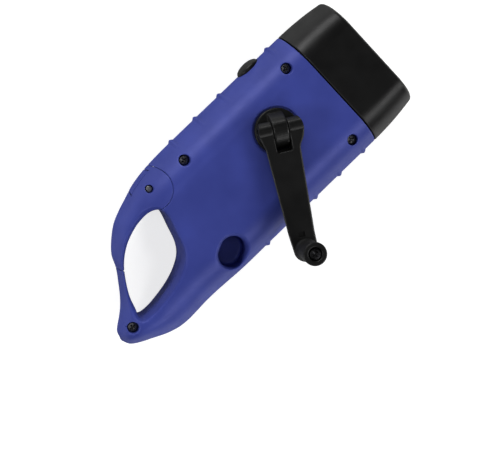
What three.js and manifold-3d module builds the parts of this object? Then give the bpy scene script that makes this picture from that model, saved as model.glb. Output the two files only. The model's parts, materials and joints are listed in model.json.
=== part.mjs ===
// A hand crank torch with a carabiner loop: housing, folding crank, gear train, generator, cells and lamp.
// Millimetres. The torch lies on its flat back at z = 0, +Y points to the lamp, the crank turns about a
// line along Z above y = 0, and x = 0 is the middle of the housing.
import * as THREE from 'three';
import { mergeVertices } from 'three/addons/utils/BufferGeometryUtils.js';
import Module from 'manifold-3d';

const wasm = await Module();
wasm.setup();

// Overall sizes of the housing
const bodyWidth = 50;
const bodyThickness = 32;
const seamY = 24.6;
const tailStartY = -28;
const tailLength = 62;
const shoulder = 13;
const wall = 2;

// Lamp head
const headLength = 20;
const frontWidth = 46.6;
const frontThickness = 27;
const headWall = 1.8;
const seamGap = 0.5;
const rimRound = 0.9;

// Clearances
const gap = 0.3;
const overrun = 5;
const partingGap = 0.3;

// Crank
const crankX = -4;
const crankRestAngle = -31;
const hubRadius = 8.45;
const hubProud = 1;
const hubRecessDepth = 1.4;
const hubRecessClearance = 0.75;
const lugWidth = 6.1;
const lugCrown = 3.3;
const lugEndHeight = 1.2;
const lugReach = { far: 7.6, near: 6.6 };
const hubEdge = 0.5;
const lugFullShare = 0.62;
const hingePinHeight = 4.5;
const hingePinOffset = 1;
const hingePinRadius = 1;
const barrelRadius = 3;
const armLength = 43;
const armThickness = 5;
const armRootWidth = 12.9;
const armEndWidth = 8.4;
const armBevel = 0.7;
const armNeckShare = 0.64;
const knobScrewFloor = 1;
const slotReach = 8.2;
const armPocket = { length: 1.9, width: 2.5, depth: 0.8, before: 5.6 };
const shaftRadius = 3;
const squareSize = 4;
const bushWall = 1;

// Knob and its well
const knobLength = 15.8;
const knobRadius = 4.1;
const knobBarrelRadius = 3.5;
const knobFlange = 1.2;
const knobCap = 2;
const knobTaper = 0.75;
const knobEdge = 0.5;
const counterboreRadius = 2.4;
const counterboreDepth = 1.6;
const knobScrewRadius = 1.3;
const knobScrewHead = { radius: 2.05, height: 1.1 };
const wellRadius = 4.8;
const wellStretch = 1.8;
const wellAngle = -63.1;

// Carabiner gate
const pivotInset = 5.4;
const pivotShare = 0.287;
const gateEyeRadius = 7.7;
const gateTipShares = [-0.336, 0.739];
const gatePinRadius = 1.1;
const gatePinSink = 1.5;
const tongueRadius = 6;
const tongueThickness = 10;
const tongueNeckAngle = 60;
const tongueNeckWidth = 9;
const tongueNeckRoom = 10;
const springWire = 0.8;
const springRadius = 2.6;
const springPitch = 1.5;
const springTurns = 3;

// Rounding of the rims that people touch
const loopRim = { inward: 3, down: 7, steps: 3 };
const wellRim = { inward: 1.4, down: 3, steps: 2 };
const recessRim = { inward: 0.5, down: 0.5, steps: 1 };

// Grip ribs across both sides
const ribPitch = 11.8;
const ribFirstY = 18.9;
const ribHeight = 0.7;
const ribHalfLength = 1.3;
const ribCount = 5;
const switchRib = 1;

// Housing screws, at the left and right of the head, at the left and in the tail
const headScrewInset = { side: 7.9, seam: 7.2 };
const gateScrewInset = { side: 6.4, tail: 2.2 };
const tailScrewShares = [0.46, 0.8903];
const screwWellRadius = 2;
const screwWellDepth = 5;
const screwHead = { radius: 1.7, height: 1.3 };
const screwShankRadius = 1.1;
const screwLength = 15;
const bossRadius = 3.4;

// Gear train: teeth, modules and where each pair meets, as angles from one axis to the next
const crankGear = { teeth: 48, module: 0.6, above: 1.4, height: 2.6 };
const idlerA = {
  pinionTeeth: 12, teeth: 42, module: 0.5, angle: -50, above: 1.2, height: 2.8, pinionOver: 0.6,
};
const idlerB = {
  pinionTeeth: 12, teeth: 36, module: 0.5, angle: 75, above: 0.5, height: 3, pinionOver: 0.5,
};
const rotorPinion = { teeth: 12, height: 3.7, angle: 135 };
const toothHeights = { above: 0.85, below: 1.15 };
const axleRadius = 1;
const axleHole = 1.3;
const crankScrew = { radius: 3.2, height: 1.6, shank: 1, length: 6 };

// Generator
const rotorRadius = 6.5;
const magnetHeight = 6;
const magnetRise = 2.6;
const statorRadius = 11.5;
const statorBore = 7;
const statorRise = 0.6;
const statorHeight = 9.3;
const statorSheet = 0.8;
const bobbinWall = 0.7;
const gearPlateRise = 1.5;
const gearPlateThickness = 1.5;
const gearPlateWidth = 6.4;
const plateScrew = { head: 1.8, height: 1.2, shank: 0.8, length: 6 };
const lowerPost = { angle: 1.7, reach: 9.93 };
const upperPost = { across: 0.4, room: 0.6 };
const leftPost = { room: 1.3, below: 3 };
const bearingHeight = 2.2;
const platePostRadius = 2.4;

// Cells and their cradle
const cellCount = 3;
const cellRadius = 7;
const cellThickness = 5.2;
const cellsInset = 7;
const cellsClearance = 0.4;
const cradleWall = 1.2;
const cradleInset = 2.6;
const cradleRimShare = 0.2;
const cradleFoot = { width: 3, length: 7, height: 1.2 };

// Switch and board
const buttonY = 9.1;
const buttonRadius = 4.5;
const buttonProud = 1.9;
const buttonFlange = { radius: 5.4, height: 1, inside: 0.4 };
const buttonTravel = 1;
const boardInset = 9.2;
const boardThickness = 1.6;
const board = { low: 4, below: 0.8, back: -8, front: 13 };
const switchBody = { depth: 3, width: 6, height: 6 };
const plungerRadius = 1;
const capacitor = { radius: 2.4, length: 7, inset: 1 };
const diode = { count: 4, radius: 0.9, length: 4.2, pitch: 3, inset: 2.6, rise: 1.5 };
const rail = { height: 3, inset: 3, halfLength: 2, wall: 1 };

// Lamp
const ledPitch = 14;
const ledRadius = 2.5;
const ledFlange = { radius: 2.9, height: 1 };
const ledLength = 8.6;
const ledBoardThickness = 1.6;
const lensThickness = 2;
const lensRecess = 1.4;
const cupRadius = 6.3;
const reflectorLength = 12;
const collarLength = 3;
const cupWaist = { across: 0.72, along: 0.3 };
const headShoulderShare = 0.46;

// How finely round things are cut
const fine = 32;
const medium = 20;
const coarse = 12;
const quarterSteps = 5;
const domeSteps = 4;
const lugSteps = 6;

// Colours
const blueAbs = { color: 0x303a82, roughness: 0.5, metalness: 0 };
const blackAbs = { color: 0x161616, roughness: 0.4, metalness: 0 };
const steel = { color: 0xa8a8a8, roughness: 0.35, metalness: 1 };
const brass = { color: 0xb59a52, roughness: 0.4, metalness: 1 };
const whiteNylon = { color: 0xe8e6dc, roughness: 0.5, metalness: 0 };
const chromed = { color: 0xd8dce0, roughness: 0.08, metalness: 1 };
const clearAcrylic = { color: 0xeef4f8, roughness: 0.05, metalness: 0 };
const boardGreen = { color: 0x1f5c33, roughness: 0.5, metalness: 0 };
const ferrite = { color: 0x3a3a3c, roughness: 0.6, metalness: 0.3 };
const copper = { color: 0xb4632d, roughness: 0.35, metalness: 1 };
const ledEpoxy = { color: 0xf2f4e4, roughness: 0.1, metalness: 0 };

const middleZ = bodyThickness / 2;
const halfWidth = bodyWidth / 2;
const tailEndY = tailStartY - tailLength;
const headFrontY = seamY + headLength;
const hubTop = bodyThickness + hubProud;
const hingePinZ = bodyThickness + hingePinHeight;
const armLow = hingePinZ - armThickness / 2;
const armTop = hingePinZ + armThickness / 2;
const zero = { x: 0, y: 0 };

// The levels inside, stacked up from the floor.
const floorZ = wall;
const statorLow = floorZ + statorRise;
const statorTop = statorLow + statorHeight;
const gearPlateLow = statorTop + gearPlateRise;
const gearPlateTop = gearPlateLow + gearPlateThickness;
const idlerBLow = gearPlateTop + idlerB.above;
const idlerBTop = idlerBLow + idlerB.height;
const idlerALow = idlerBTop + idlerA.above;
const idlerATop = idlerALow + idlerA.height;
const crankGearLow = idlerATop + crankGear.above;
const crankGearTop = crankGearLow + crankGear.height;
const idlerAPinionTop = crankGearTop + idlerA.pinionOver;
const idlerBPinionTop = idlerATop + idlerB.pinionOver;

function radians(degrees) {
  return degrees * Math.PI / 180;
}

function polar(from, angle, reach) {
  return { x: from.x + reach * Math.cos(radians(angle)), y: from.y + reach * Math.sin(radians(angle)) };
}

// Solids and shapes

const weldDistance = 1e-4;

function signedVolume(places, corners) {
  let sum = 0;
  const [a, b, c] = [new THREE.Vector3(), new THREE.Vector3(), new THREE.Vector3()];
  for (let i = 0; i < corners.length; i += 3) {
    a.fromArray(places, 3 * corners[i]);
    b.fromArray(places, 3 * corners[i + 1]);
    c.fromArray(places, 3 * corners[i + 2]);
    sum += a.dot(b.cross(c));
  }
  return sum / 6;
}

// Turns a closed geometry into a solid, whichever way its faces point.
function solidOf(geometry) {
  const bare = geometry.clone();
  bare.deleteAttribute('normal');
  bare.deleteAttribute('uv');
  const merged = mergeVertices(bare, weldDistance);
  const places = merged.attributes.position.array;
  let corners = [];
  for (let i = 0; i < merged.index.count; i += 3) {
    const triple = [merged.index.getX(i), merged.index.getX(i + 1), merged.index.getX(i + 2)];
    if (new Set(triple).size === 3) corners.push(...triple);
  }
  if (signedVolume(places, corners) < 0) corners = corners.reverse();
  return new wasm.Manifold(new wasm.Mesh({
    numProp: 3,
    vertProperties: new Float32Array(places),
    triVerts: new Uint32Array(corners),
  }));
}

function geometryOf(solid) {
  const { vertProperties, triVerts } = solid.getMesh();
  const geometry = new THREE.BufferGeometry();
  geometry.setAttribute('position', new THREE.BufferAttribute(new Float32Array(vertProperties), 3));
  geometry.setIndex(new THREE.BufferAttribute(new Uint32Array(triVerts), 1));
  geometry.computeVertexNormals();
  return geometry;
}

function named(name, solid, finish) {
  const mesh = new THREE.Mesh(geometryOf(solid), new THREE.MeshStandardMaterial(finish));
  mesh.name = name;
  return mesh;
}

function rodGeometry(radius, low, high, sides = medium) {
  const length = high - low;
  return new THREE.CylinderGeometry(radius, radius, length, sides)
    .rotateX(Math.PI / 2).translate(0, 0, low + length / 2);
}

function rod(radius, low, high, at = zero, sides = medium) {
  return solidOf(rodGeometry(radius, low, high, sides).translate(at.x, at.y, 0));
}

// A rod along X, between two x values.
function rodAlongX(radius, left, right, at, sides = medium) {
  return solidOf(rodGeometry(radius, left, right, sides).rotateY(Math.PI / 2).translate(0, at.y, at.z));
}

// A rod along Y, between two y values.
function rodAlongY(radius, back, front, at, sides = medium) {
  return solidOf(rodGeometry(radius, back, front, sides).rotateX(-Math.PI / 2).translate(at.x, 0, at.z));
}

function block(left, right, back, front, low, high) {
  return solidOf(new THREE.BoxGeometry(right - left, front - back, high - low)
    .translate((left + right) / 2, (back + front) / 2, (low + high) / 2));
}

function plateGeometry(shape, low, high, sides = medium) {
  return new THREE.ExtrudeGeometry(shape, { depth: high - low, bevelEnabled: false, curveSegments: sides })
    .translate(0, 0, low);
}

function plate(shape, low, high, sides = medium) {
  return solidOf(plateGeometry(shape, low, high, sides));
}

// A turned piece about Z from a closed profile of [radius, z].
function turnedGeometry(profile, sides = medium) {
  const points = profile.map(([radius, z]) => new THREE.Vector2(radius, z));
  return new THREE.LatheGeometry([...points, points[0]], sides).rotateX(Math.PI / 2);
}

function turned(profile, at = zero, sides = medium) {
  return solidOf(turnedGeometry(profile, sides).translate(at.x, at.y, 0));
}

function tube(inner, outer, low, high, at = zero, sides = medium) {
  return turned([[inner, low], [outer, low], [outer, high], [inner, high]], at, sides);
}

// A closed skin through rings of equal length, capped flat at both ends.
function loft(rings) {
  const count = rings[0].length;
  const places = rings.flatMap(ring => ring.flatMap(point => point.toArray()));
  const corners = [];
  for (let r = 0; r + 1 < rings.length; r++) {
    for (let i = 0; i < count; i++) {
      const next = (i + 1) % count;
      const [a, b] = [r * count + i, r * count + next];
      corners.push(a, b, b + count, a, b + count, a + count);
    }
  }
  const last = (rings.length - 1) * count;
  for (let i = 1; i + 1 < count; i++) {
    corners.push(0, i + 1, i);
    corners.push(last, last + i, last + i + 1);
  }
  const geometry = new THREE.BufferGeometry();
  geometry.setAttribute('position', new THREE.Float32BufferAttribute(places, 3));
  geometry.setIndex(corners);
  return solidOf(geometry);
}

// The housing's outline, as shares: along the tail, then left and right edge of half the width,
// then crank side and back of half the thickness.
const tailShares = [
  [0.000, -1.000, 1.000, 1.000, 1.000],
  [0.200, -0.985, 1.000, 0.980, 1.000],
  [0.330, -0.940, 0.985, 0.950, 1.000],
  [0.420, -0.868, 0.975, 0.930, 1.000],
  [0.500, -0.800, 0.975, 0.905, 1.000],
  [0.570, -0.720, 0.985, 0.880, 1.000],
  [0.645, -0.575, 1.000, 0.855, 1.000],
  [0.702, -0.420, 1.000, 0.835, 0.990],
  [0.733, -0.255, 0.985, 0.825, 0.985],
  [0.780, -0.085, 0.950, 0.805, 0.970],
  [0.822, 0.056, 0.900, 0.790, 0.950],
  [0.868, 0.185, 0.845, 0.760, 0.910],
  [0.915, 0.285, 0.795, 0.700, 0.830],
  [0.960, 0.365, 0.735, 0.580, 0.680],
  [0.988, 0.425, 0.670, 0.430, 0.500],
  [1.000, 0.480, 0.610, 0.300, 0.340],
];

// A smooth curve through one column of a table of shares.
function along(table, share, column) {
  const rows = table.length;
  let i = 0;
  while (i < rows - 2 && share > table[i + 1][0]) i++;
  const [from, to] = [table[i], table[i + 1]];
  const span = to[0] - from[0];
  const slope = k => {
    const [before, after] = [table[Math.max(0, k - 1)], table[Math.min(rows - 1, k + 1)]];
    return k === 0 ? 0 : (after[column] - before[column]) / (after[0] - before[0]);
  };
  const t = (share - from[0]) / span;
  const [t2, t3] = [t * t, t * t * t];
  return (2 * t3 - 3 * t2 + 1) * from[column] + (t3 - 2 * t2 + t) * span * slope(i)
    + (3 * t2 - 2 * t3) * to[column] + (t3 - t2) * span * slope(i + 1);
}

// How far the grip ribs stand out at this y, on the left (-1) or right (1).
function ribSwell(y, side) {
  let swell = 0;
  for (let i = 0; i < ribCount; i++) {
    if (side < 0 && i === switchRib) continue;
    const off = Math.abs(y - (ribFirstY - i * ribPitch)) / ribHalfLength;
    swell = Math.max(swell, Math.min(1, 2 * (1 - off)));
  }
  return ribHeight * Math.max(0, swell);
}

// The housing at one y: its two edges, how far each edge's rounding reaches in, and its two heights.
function edges(y, ribs = false) {
  const share = Math.max(0, (tailStartY - y) / tailLength);
  const at = (column, s = share) => along(tailShares, Math.min(1, Math.max(0, s)), column);
  const step = 0.01;
  const slope = column => (at(column, share + step) - at(column, share - step)) * halfWidth
    / ((Math.min(1, share + step) - Math.max(0, share - step)) * tailLength);
  let left = halfWidth * at(1);
  let right = halfWidth * at(2);
  const width = right - left;
  let leftRound = shoulder * Math.hypot(1, slope(1));
  let rightRound = shoulder * Math.hypot(1, slope(2));
  const crowdShare = 0.96;
  const crowd = Math.min(1, crowdShare * width / (leftRound + rightRound));
  const roundShare = 0.62;
  leftRound = Math.min(leftRound * crowd, roundShare * width);
  rightRound = Math.min(rightRound * crowd, roundShare * width);
  if (ribs) {
    const [swellLeft, swellRight] = [ribSwell(y, -1), ribSwell(y, 1)];
    left -= swellLeft;
    right += swellRight;
    leftRound += swellLeft;
    rightRound += swellRight;
  }
  return { left, right, leftRound, rightRound, top: middleZ * at(3), back: middleZ * at(4) };
}

// The closed outline of a section: four elliptical quarters with flats between them.
function sectionRing(y, e, inset = 0) {
  const ring = [];
  const quarter = (side, height, from) => {
    const round = (side > 0 ? e.rightRound : e.leftRound) - inset;
    const edge = side > 0 ? e.right - inset : e.left + inset;
    for (let i = 0; i <= quarterSteps; i++) {
      const turn = (from ? quarterSteps - i : i) / quarterSteps * Math.PI / 2;
      const x = edge - side * round * (1 - Math.cos(turn));
      ring.push(new THREE.Vector3(x, y, middleZ + (height - Math.sign(height) * inset) * Math.sin(turn)));
    }
  };
  quarter(1, e.top, false);
  quarter(-1, e.top, true);
  ring.pop();
  quarter(-1, -e.back, false);
  quarter(1, -e.back, true);
  ring.pop();
  return ring;
}

// The height of the housing's skin over a point, on the crank side (1) or the back (-1).
function skinHeight(x, y, side) {
  const e = edges(y);
  const inLeft = 1 - (x - e.left) / e.leftRound;
  const inRight = 1 - (e.right - x) / e.rightRound;
  const off = Math.min(1, Math.max(0, inLeft, inRight));
  return middleZ + side * (side > 0 ? e.top : e.back) * Math.sqrt(1 - off * off);
}

function hullStations() {
  const straight = [seamY - seamGap / 2, seamY - seamGap / 2 - rimRound / 3];
  for (let i = 0; i < ribCount; i++) {
    const y = ribFirstY - i * ribPitch;
    for (const share of [1, 0, -1]) straight.push(y + share * ribHalfLength);
  }
  const stations = straight.concat(tailShares.slice(1).map(([share]) => tailStartY - share * tailLength));
  return stations.sort((a, b) => b - a);
}

function housingBlock() {
  const rings = hullStations().map(y => sectionRing(y, edges(y, true)));
  return loft(rings);
}

// A cutter through a rim of the housing. It follows the outline down to a floor, and rounds the rim over
// where the outline leaves the skin. With no floor it goes right through and rounds both rims.
function rimCutter(outline, rim, floor = null) {
  const normals = outline.map((point, i) => {
    const before = outline[(i + outline.length - 1) % outline.length];
    const after = outline[(i + 1) % outline.length];
    return new THREE.Vector2(after.y - before.y, before.x - after.x).normalize();
  });
  const barShare = 0.4;
  const heightShare = 0.6;
  const ringAt = (turn, side, level) => outline.map((point, i) => {
    const e = edges(point.y);
    const room = Math.max(0, Math.min(point.x - e.left, e.right - point.x)) * barShare;
    const out = Math.min(rim.inward, room) * (1 - Math.cos(turn));
    const place = point.clone().addScaledVector(normals[i], out);
    if (level !== undefined) return new THREE.Vector3(place.x, place.y, level);
    const skin = skinHeight(place.x, place.y, side);
    const down = Math.min(rim.down, heightShare * Math.abs(skin - middleZ));
    return new THREE.Vector3(place.x, place.y, skin - side * down * (1 - Math.sin(turn)));
  });
  const turns = [...Array(rim.steps + 1).keys()].map(i => i / rim.steps * Math.PI / 2);
  const upper = turns.map(turn => ringAt(turn, 1));
  upper.push(ringAt(Math.PI / 2, 1, bodyThickness + overrun));
  if (floor !== null) return loft([ringAt(0, 1, floor), ...upper]);
  const lower = turns.map(turn => ringAt(turn, -1)).reverse();
  lower.unshift(ringAt(Math.PI / 2, -1, -overrun));
  return loft([...lower, ...upper]);
}

function roundOutline(at, radius, sides = medium) {
  const points = [];
  for (let i = 0; i < sides; i++) {
    const p = polar(at, 360 * i / sides, radius);
    points.push(new THREE.Vector2(p.x, p.y));
  }
  return points;
}

// The knob's well, longer away from the crank so that the knob can swing into it.
function wellOutline() {
  return roundOutline(wellPlace, wellRadius).map(point => {
    const off = polar(zero, wellAngle, wellStretch);
    const outward = (point.x - wellPlace.x) * off.x + (point.y - wellPlace.y) * off.y > 0;
    return outward ? new THREE.Vector2(point.x + off.x, point.y + off.y) : point;
  });
}

// The loop opening, going round it, as shares of half the width and along the tail.
const loopShares = [
  [-0.544, 0.374], [-0.540, 0.445], [-0.484, 0.532], [-0.392, 0.610], [-0.250, 0.682],
  [-0.096, 0.732], [0.140, 0.790], [0.310, 0.816], [0.412, 0.832], [0.480, 0.821],
  [0.508, 0.766], [0.492, 0.677], [0.448, 0.581], [0.372, 0.494], [0.264, 0.424],
  [0.130, 0.384], [-0.120, 0.350], [-0.380, 0.321], [-0.490, 0.332],
];

// A point of the tail from its shares: across half the width, and along the tail.
function tailPoint([across, share]) {
  return new THREE.Vector2(halfWidth * across, tailStartY - share * tailLength);
}

function loopOutline() {
  const points = loopShares.map(shares => new THREE.Vector3(...tailPoint(shares).toArray(), 0));
  const curve = new THREE.CatmullRomCurve3(points, true, 'centripetal');
  return curve.getSpacedPoints(fine).slice(0, fine).map(p => new THREE.Vector2(p.x, p.y));
}

// Places that follow from the sizes above

const crankAxis = { x: crankX, y: 0 };
const stowedReach = armLength + hingePinOffset;
const wellPlace = polar(crankAxis, wellAngle, stowedReach);
const knobTop = armTop + gap + knobLength;
const wellFloor = 2 * hingePinZ - knobTop - 2 * gap;

const pitchRadius = (teeth, module) => teeth * module / 2;
const axisA = polar(crankAxis, idlerA.angle,
  pitchRadius(crankGear.teeth, crankGear.module) + pitchRadius(idlerA.pinionTeeth, crankGear.module));
const axisB = polar(axisA, idlerB.angle,
  pitchRadius(idlerA.teeth, idlerA.module) + pitchRadius(idlerB.pinionTeeth, idlerA.module));
const rotorAxis = polar(axisB, rotorPinion.angle,
  pitchRadius(idlerB.teeth, idlerB.module) + pitchRadius(rotorPinion.teeth, idlerB.module));

const pivot = { x: -halfWidth + pivotInset, y: tailStartY - pivotShare * tailLength };
const gateTip = tailPoint(gateTipShares);
const gateReach = Math.hypot(gateTip.x - pivot.x, gateTip.y - pivot.y);
const gateScrew = { x: -halfWidth + gateScrewInset.side, y: tailStartY - gateScrewInset.tail };
const rightScrew = { x: halfWidth - headScrewInset.side, y: seamY - headScrewInset.seam };
const leftScrew = { x: -rightScrew.x, y: rightScrew.y };
const screwPlaces = [leftScrew, rightScrew, gateScrew, tailPoint(tailScrewShares)];


const boardX = -halfWidth + boardInset;
const boardLow = floorZ + board.low;
const boardHigh = crankGearLow - board.below;
const cellsLeft = -halfWidth + cellsInset;
const cellsMiddle = {
  y: gateScrew.y + bossRadius + cellsClearance + cellRadius,
  z: floorZ + gap + cradleFoot.height + cradleWall + gap + cellRadius,
};

// The gear plate's screws: one beside the first idler, one beside the board, and one below the right screw.
const platePosts = [
  polar(axisA, lowerPost.angle, lowerPost.reach),
  { x: boardX + boardThickness / 2 + leftPost.room + gearPlateWidth / 2, y: crankAxis.y - leftPost.below },
  { x: rightScrew.x + upperPost.across, y: rightScrew.y - bossRadius - gearPlateWidth / 2 - upperPost.room },
];

// Housing

// A line through the loop that parts the gate's side from the rest, as shares of half the width and along
// the tail.
const gateSideShares = [[-0.44, 0.372], [-0.1, 0.55], [0.2, 0.72], [0.2, 1]];

// What the gate takes out of the housing: its eye, and everything left of the loop within its reach.
function gateRegion(clearance) {
  const reach = rod(gateReach + clearance, -overrun, bodyThickness + overrun, pivot, fine);
  const beside = new THREE.Shape([
    new THREE.Vector2(pivot.x - gateReach, pivot.y),
    new THREE.Vector2(pivot.x, pivot.y),
    ...gateSideShares.map(tailPoint),
    new THREE.Vector2(pivot.x - gateReach, tailEndY),
  ]);
  const bar = plate(beside, -overrun, bodyThickness + overrun).intersect(reach);
  return rod(gateEyeRadius + clearance, -overrun, bodyThickness + overrun, pivot, fine).add(bar);
}

// The tongue of the housing that the gate's eye straddles, with a pocket for the spring.
function tongue() {
  const [low, high] = [middleZ - tongueThickness / 2, middleZ + tongueThickness / 2];
  const neckLength = gateEyeRadius + wall;
  const neck = new THREE.BoxGeometry(neckLength, tongueNeckWidth, tongueThickness)
    .translate(neckLength / 2, 0, middleZ)
    .rotateZ(radians(tongueNeckAngle)).translate(pivot.x, pivot.y, 0);
  const pocketHalf = springTurns * springPitch / 2 + springWire;
  const pocketRadius = springRadius + springWire / 2 + 2 * gap;
  return rod(tongueRadius, low, high, pivot).add(solidOf(neck)).intersect(housingBlock())
    .subtract(rod(pocketRadius, middleZ - pocketHalf, middleZ + pocketHalf, pivot))
    .subtract(rod(gatePinRadius + gap, low - gap, high + gap, pivot, coarse));
}

// The inside of the housing: the section less the wall, from the tail's start to the open front.
function cavity() {
  const ring = y => sectionRing(y, edges(seamY), wall);
  return loft([ring(seamY + overrun), ring(tailStartY - wall / 2)]);
}

// The room in the tail between the loop, the gate and the outer edge, as shares of half the width and
// along the tail.
const tailRoomOver = 0.1;
const tailRoomShares = [
  [-0.94, -0.02], [-0.94, 0.12], [-0.36, 0.17], [-0.24, 0.22], [0.22, 0.285], [0.46, 0.35], [0.6, 0.46],
  [0.66, 0.56], [0.70, 0.66], [0.74, 0.72], [0.80, 0.74], [0.86, 0.70], [0.94, 0.56], [0.94, -0.02],
];

// The well's wall is kept in the crank side alone, from its floor's underside or from the parting line.
function tailRoom() {
  const deepest = Math.max(...tailRoomShares.map(([across, share]) => share));
  const stations = tailShares.map(([share]) => share).filter(share => share < deepest + tailRoomOver);
  const within = loft([tailStartY + wall, ...stations.map(share => tailStartY - share * tailLength)]
    .map(y => sectionRing(y, edges(y), wall)));
  const outline = new THREE.Shape(tailRoomShares.map(tailPoint));
  const wellOuter = wellRadius + wellStretch + wellRim.inward + wall;
  const wellLow = Math.max(wellFloor - wall, middleZ + partingGap / 2);
  return within.intersect(plate(outline, 0, bodyThickness))
    .subtract(rod(wellOuter, wellLow, bodyThickness, wellPlace))
    .subtract(rod(gateEyeRadius + gap + wall, 0, bodyThickness, pivot));
}

function buttonHole() {
  const at = { y: buttonY, z: middleZ };
  const inside = -halfWidth + wall;
  return rodAlongX(buttonRadius + gap, -halfWidth - overrun, -halfWidth + overrun, at)
    .add(rodAlongX(buttonFlange.radius + gap, inside - gap, inside + overrun, at));
}

function halfSpace(side) {
  const reach = bodyWidth;
  const edge = middleZ + side * partingGap / 2;
  const [low, high] = side > 0 ? [edge, bodyThickness + overrun] : [-overrun, edge];
  return block(-reach, reach, tailEndY - overrun, headFrontY + overrun, low, high);
}

const shellHole = screwShankRadius + gap;
const screwFloor = place => skinHeight(place.x, place.y, 1) - screwWellDepth;

// Both shells before they are parted: the outer form, hollow, with the loop and the gate's place cut out.
function housingForm() {
  const skin = housingBlock();
  const bosses = screwPlaces.slice(0, 3).map(place => rod(bossRadius, 0, bodyThickness, place));
  const recessWall = hubRadius + hubRecessClearance + wall;
  const bearing = rod(recessWall, bodyThickness - hubRecessDepth - wall, bodyThickness, crankAxis);
  const axleBoss = rod(axleHole + wall / 2, idlerAPinionTop + gap, bodyThickness, axisA);
  const room = cavity().add(tailRoom());
  const inner = [...bosses, bearing, axleBoss].reduce((left, piece) => left.subtract(piece), room);
  return skin.subtract(inner)
    .subtract(rimCutter(loopOutline(), loopRim))
    .subtract(gateRegion(gap))
    .add(tongue())
    .subtract(buttonHole());
}

function frontShell(form) {
  let shell = form.intersect(halfSpace(1));
  for (const place of screwPlaces) {
    shell = shell.subtract(rod(screwWellRadius, screwFloor(place), bodyThickness + overrun, place, coarse));
    shell = shell.subtract(rod(shellHole, 0, bodyThickness, place, coarse));
  }
  const recessFloor = bodyThickness - hubRecessDepth;
  const hubRim = roundOutline(crankAxis, hubRadius + hubRecessClearance, fine);
  return shell.subtract(rimCutter(hubRim, recessRim, recessFloor))
    .subtract(rimCutter(wellOutline(), wellRim, wellFloor))
    .subtract(rod(shaftRadius + bushWall + 2 * gap, 0, bodyThickness, crankAxis))
    .subtract(rod(axleHole, 0, bodyThickness - wall, axisA, coarse));
}

function backShell(form) {
  let shell = form.intersect(halfSpace(-1));
  const sleeve = axleHole + wall / 2;
  const bearing = tube(axleHole, sleeve, floorZ - wall / 2, floorZ + bearingHeight, rotorAxis, coarse);
  const floor = housingBlock();
  const platePillars = platePosts.map(place =>
    rod(platePostRadius, 0, gearPlateLow - gap, place, coarse).intersect(floor));
  for (const piece of [bearing, ...platePillars, ...boardRails(floor)]) shell = shell.add(piece);
  const plateHoleLow = gearPlateLow - plateScrew.length;
  for (const place of platePosts) {
    shell = shell.subtract(rod(plateScrew.shank + gap, plateHoleLow, middleZ, place, coarse));
  }
  for (const place of screwPlaces) {
    const low = screwFloor(place) - screwLength - gap;
    shell = shell.subtract(rod(shellHole, low, bodyThickness, place, coarse));
  }
  return shell;
}

// Two pairs of short rails that hold the board's lower edge.
function boardRails(floor) {
  const rails = [];
  const half = boardThickness / 2 + gap;
  const outer = half + rail.wall;
  for (const y of [board.back + rail.inset, board.front - rail.inset]) {
    const [back, front] = [y - rail.halfLength, y + rail.halfLength];
    rails.push(block(boardX - outer, boardX - half, back, front, 0, boardLow + rail.height));
    rails.push(block(boardX + half, boardX + outer, back, front, 0, boardLow + rail.height));
    rails.push(block(boardX - outer, boardX + outer, back, front, 0, boardLow - gap));
  }
  return rails.map(piece => piece.intersect(floor));
}

function housing() {
  const group = new THREE.Group();
  const form = housingForm();
  group.add(named('front_shell', frontShell(form), blueAbs));
  group.add(named('back_shell', backShell(form), blueAbs));
  screwPlaces.forEach((place, i) => {
    const seat = screwFloor(place) + gap;
    const screw = turned([
      [0, seat - screwLength], [screwShankRadius, seat - screwLength], [screwShankRadius, seat],
      [screwHead.radius, seat], [screwHead.radius, seat + screwHead.height], [0, seat + screwHead.height],
    ], place, coarse);
    group.add(named(`shell_screw_${i + 1}`, screw, steel));
  });
  return group;
}

// Carabiner gate, its pin and its spring

function gate() {
  const form = housingBlock().intersect(gateRegion(0)).subtract(rimCutter(loopOutline(), loopRim));
  const slotHalf = tongueThickness / 2 + gap;
  const [low, high] = [middleZ - slotHalf, middleZ + slotHalf];
  const side = 2 * gateEyeRadius;
  const neckRoom = new THREE.BoxGeometry(side, side, 2 * slotHalf).translate(side / 2, 0, middleZ)
    .rotateZ(radians(tongueNeckAngle + tongueNeckRoom)).translate(pivot.x, pivot.y, 0);
  return form
    .subtract(rod(tongueRadius + gap, low, high, pivot, fine))
    .subtract(solidOf(neckRoom))
    .subtract(rod(gatePinRadius + gap, -overrun, bodyThickness + overrun, pivot, coarse));
}

// The gate's torsion spring: one unbroken wire wound round the pin.
function gateSpring() {
  const stepsPerTurn = 8;
  const steps = springTurns * stepsPerTurn;
  const points = [];
  for (let i = 0; i <= steps; i++) {
    const p = polar(pivot, 360 * i / stepsPerTurn, springRadius);
    points.push(new THREE.Vector3(p.x, p.y, middleZ + springPitch * (i / stepsPerTurn - springTurns / 2)));
  }
  const nearby = stepsPerTurn / 2;
  let least = Infinity;
  points.forEach((p, i) => points.forEach((q, k) => {
    if (k - i > nearby) least = Math.min(least, p.distanceTo(q) - springWire);
  }));
  console.log(`gate_spring: least gap to itself ${least.toFixed(2)} mm`);
  const wire = new THREE.Shape();
  wire.absarc(0, 0, springWire / 2, 0, 2 * Math.PI, false);
  const path = new THREE.CatmullRomCurve3(points);
  return solidOf(new THREE.ExtrudeGeometry(wire, { steps, extrudePath: path, curveSegments: 3 }));
}

function carabiner() {
  const group = new THREE.Group();
  group.add(named('carabiner_gate', gate(), blueAbs));
  const pinTop = skinHeight(pivot.x, pivot.y, 1) - gatePinSink;
  const pinLow = skinHeight(pivot.x, pivot.y, -1) + gatePinSink;
  group.add(named('gate_pin', rod(gatePinRadius, pinLow, pinTop, pivot, coarse), steel));
  group.add(named('gate_spring', gateSpring(), steel));
  return group;
}

// Lamp head

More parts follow.
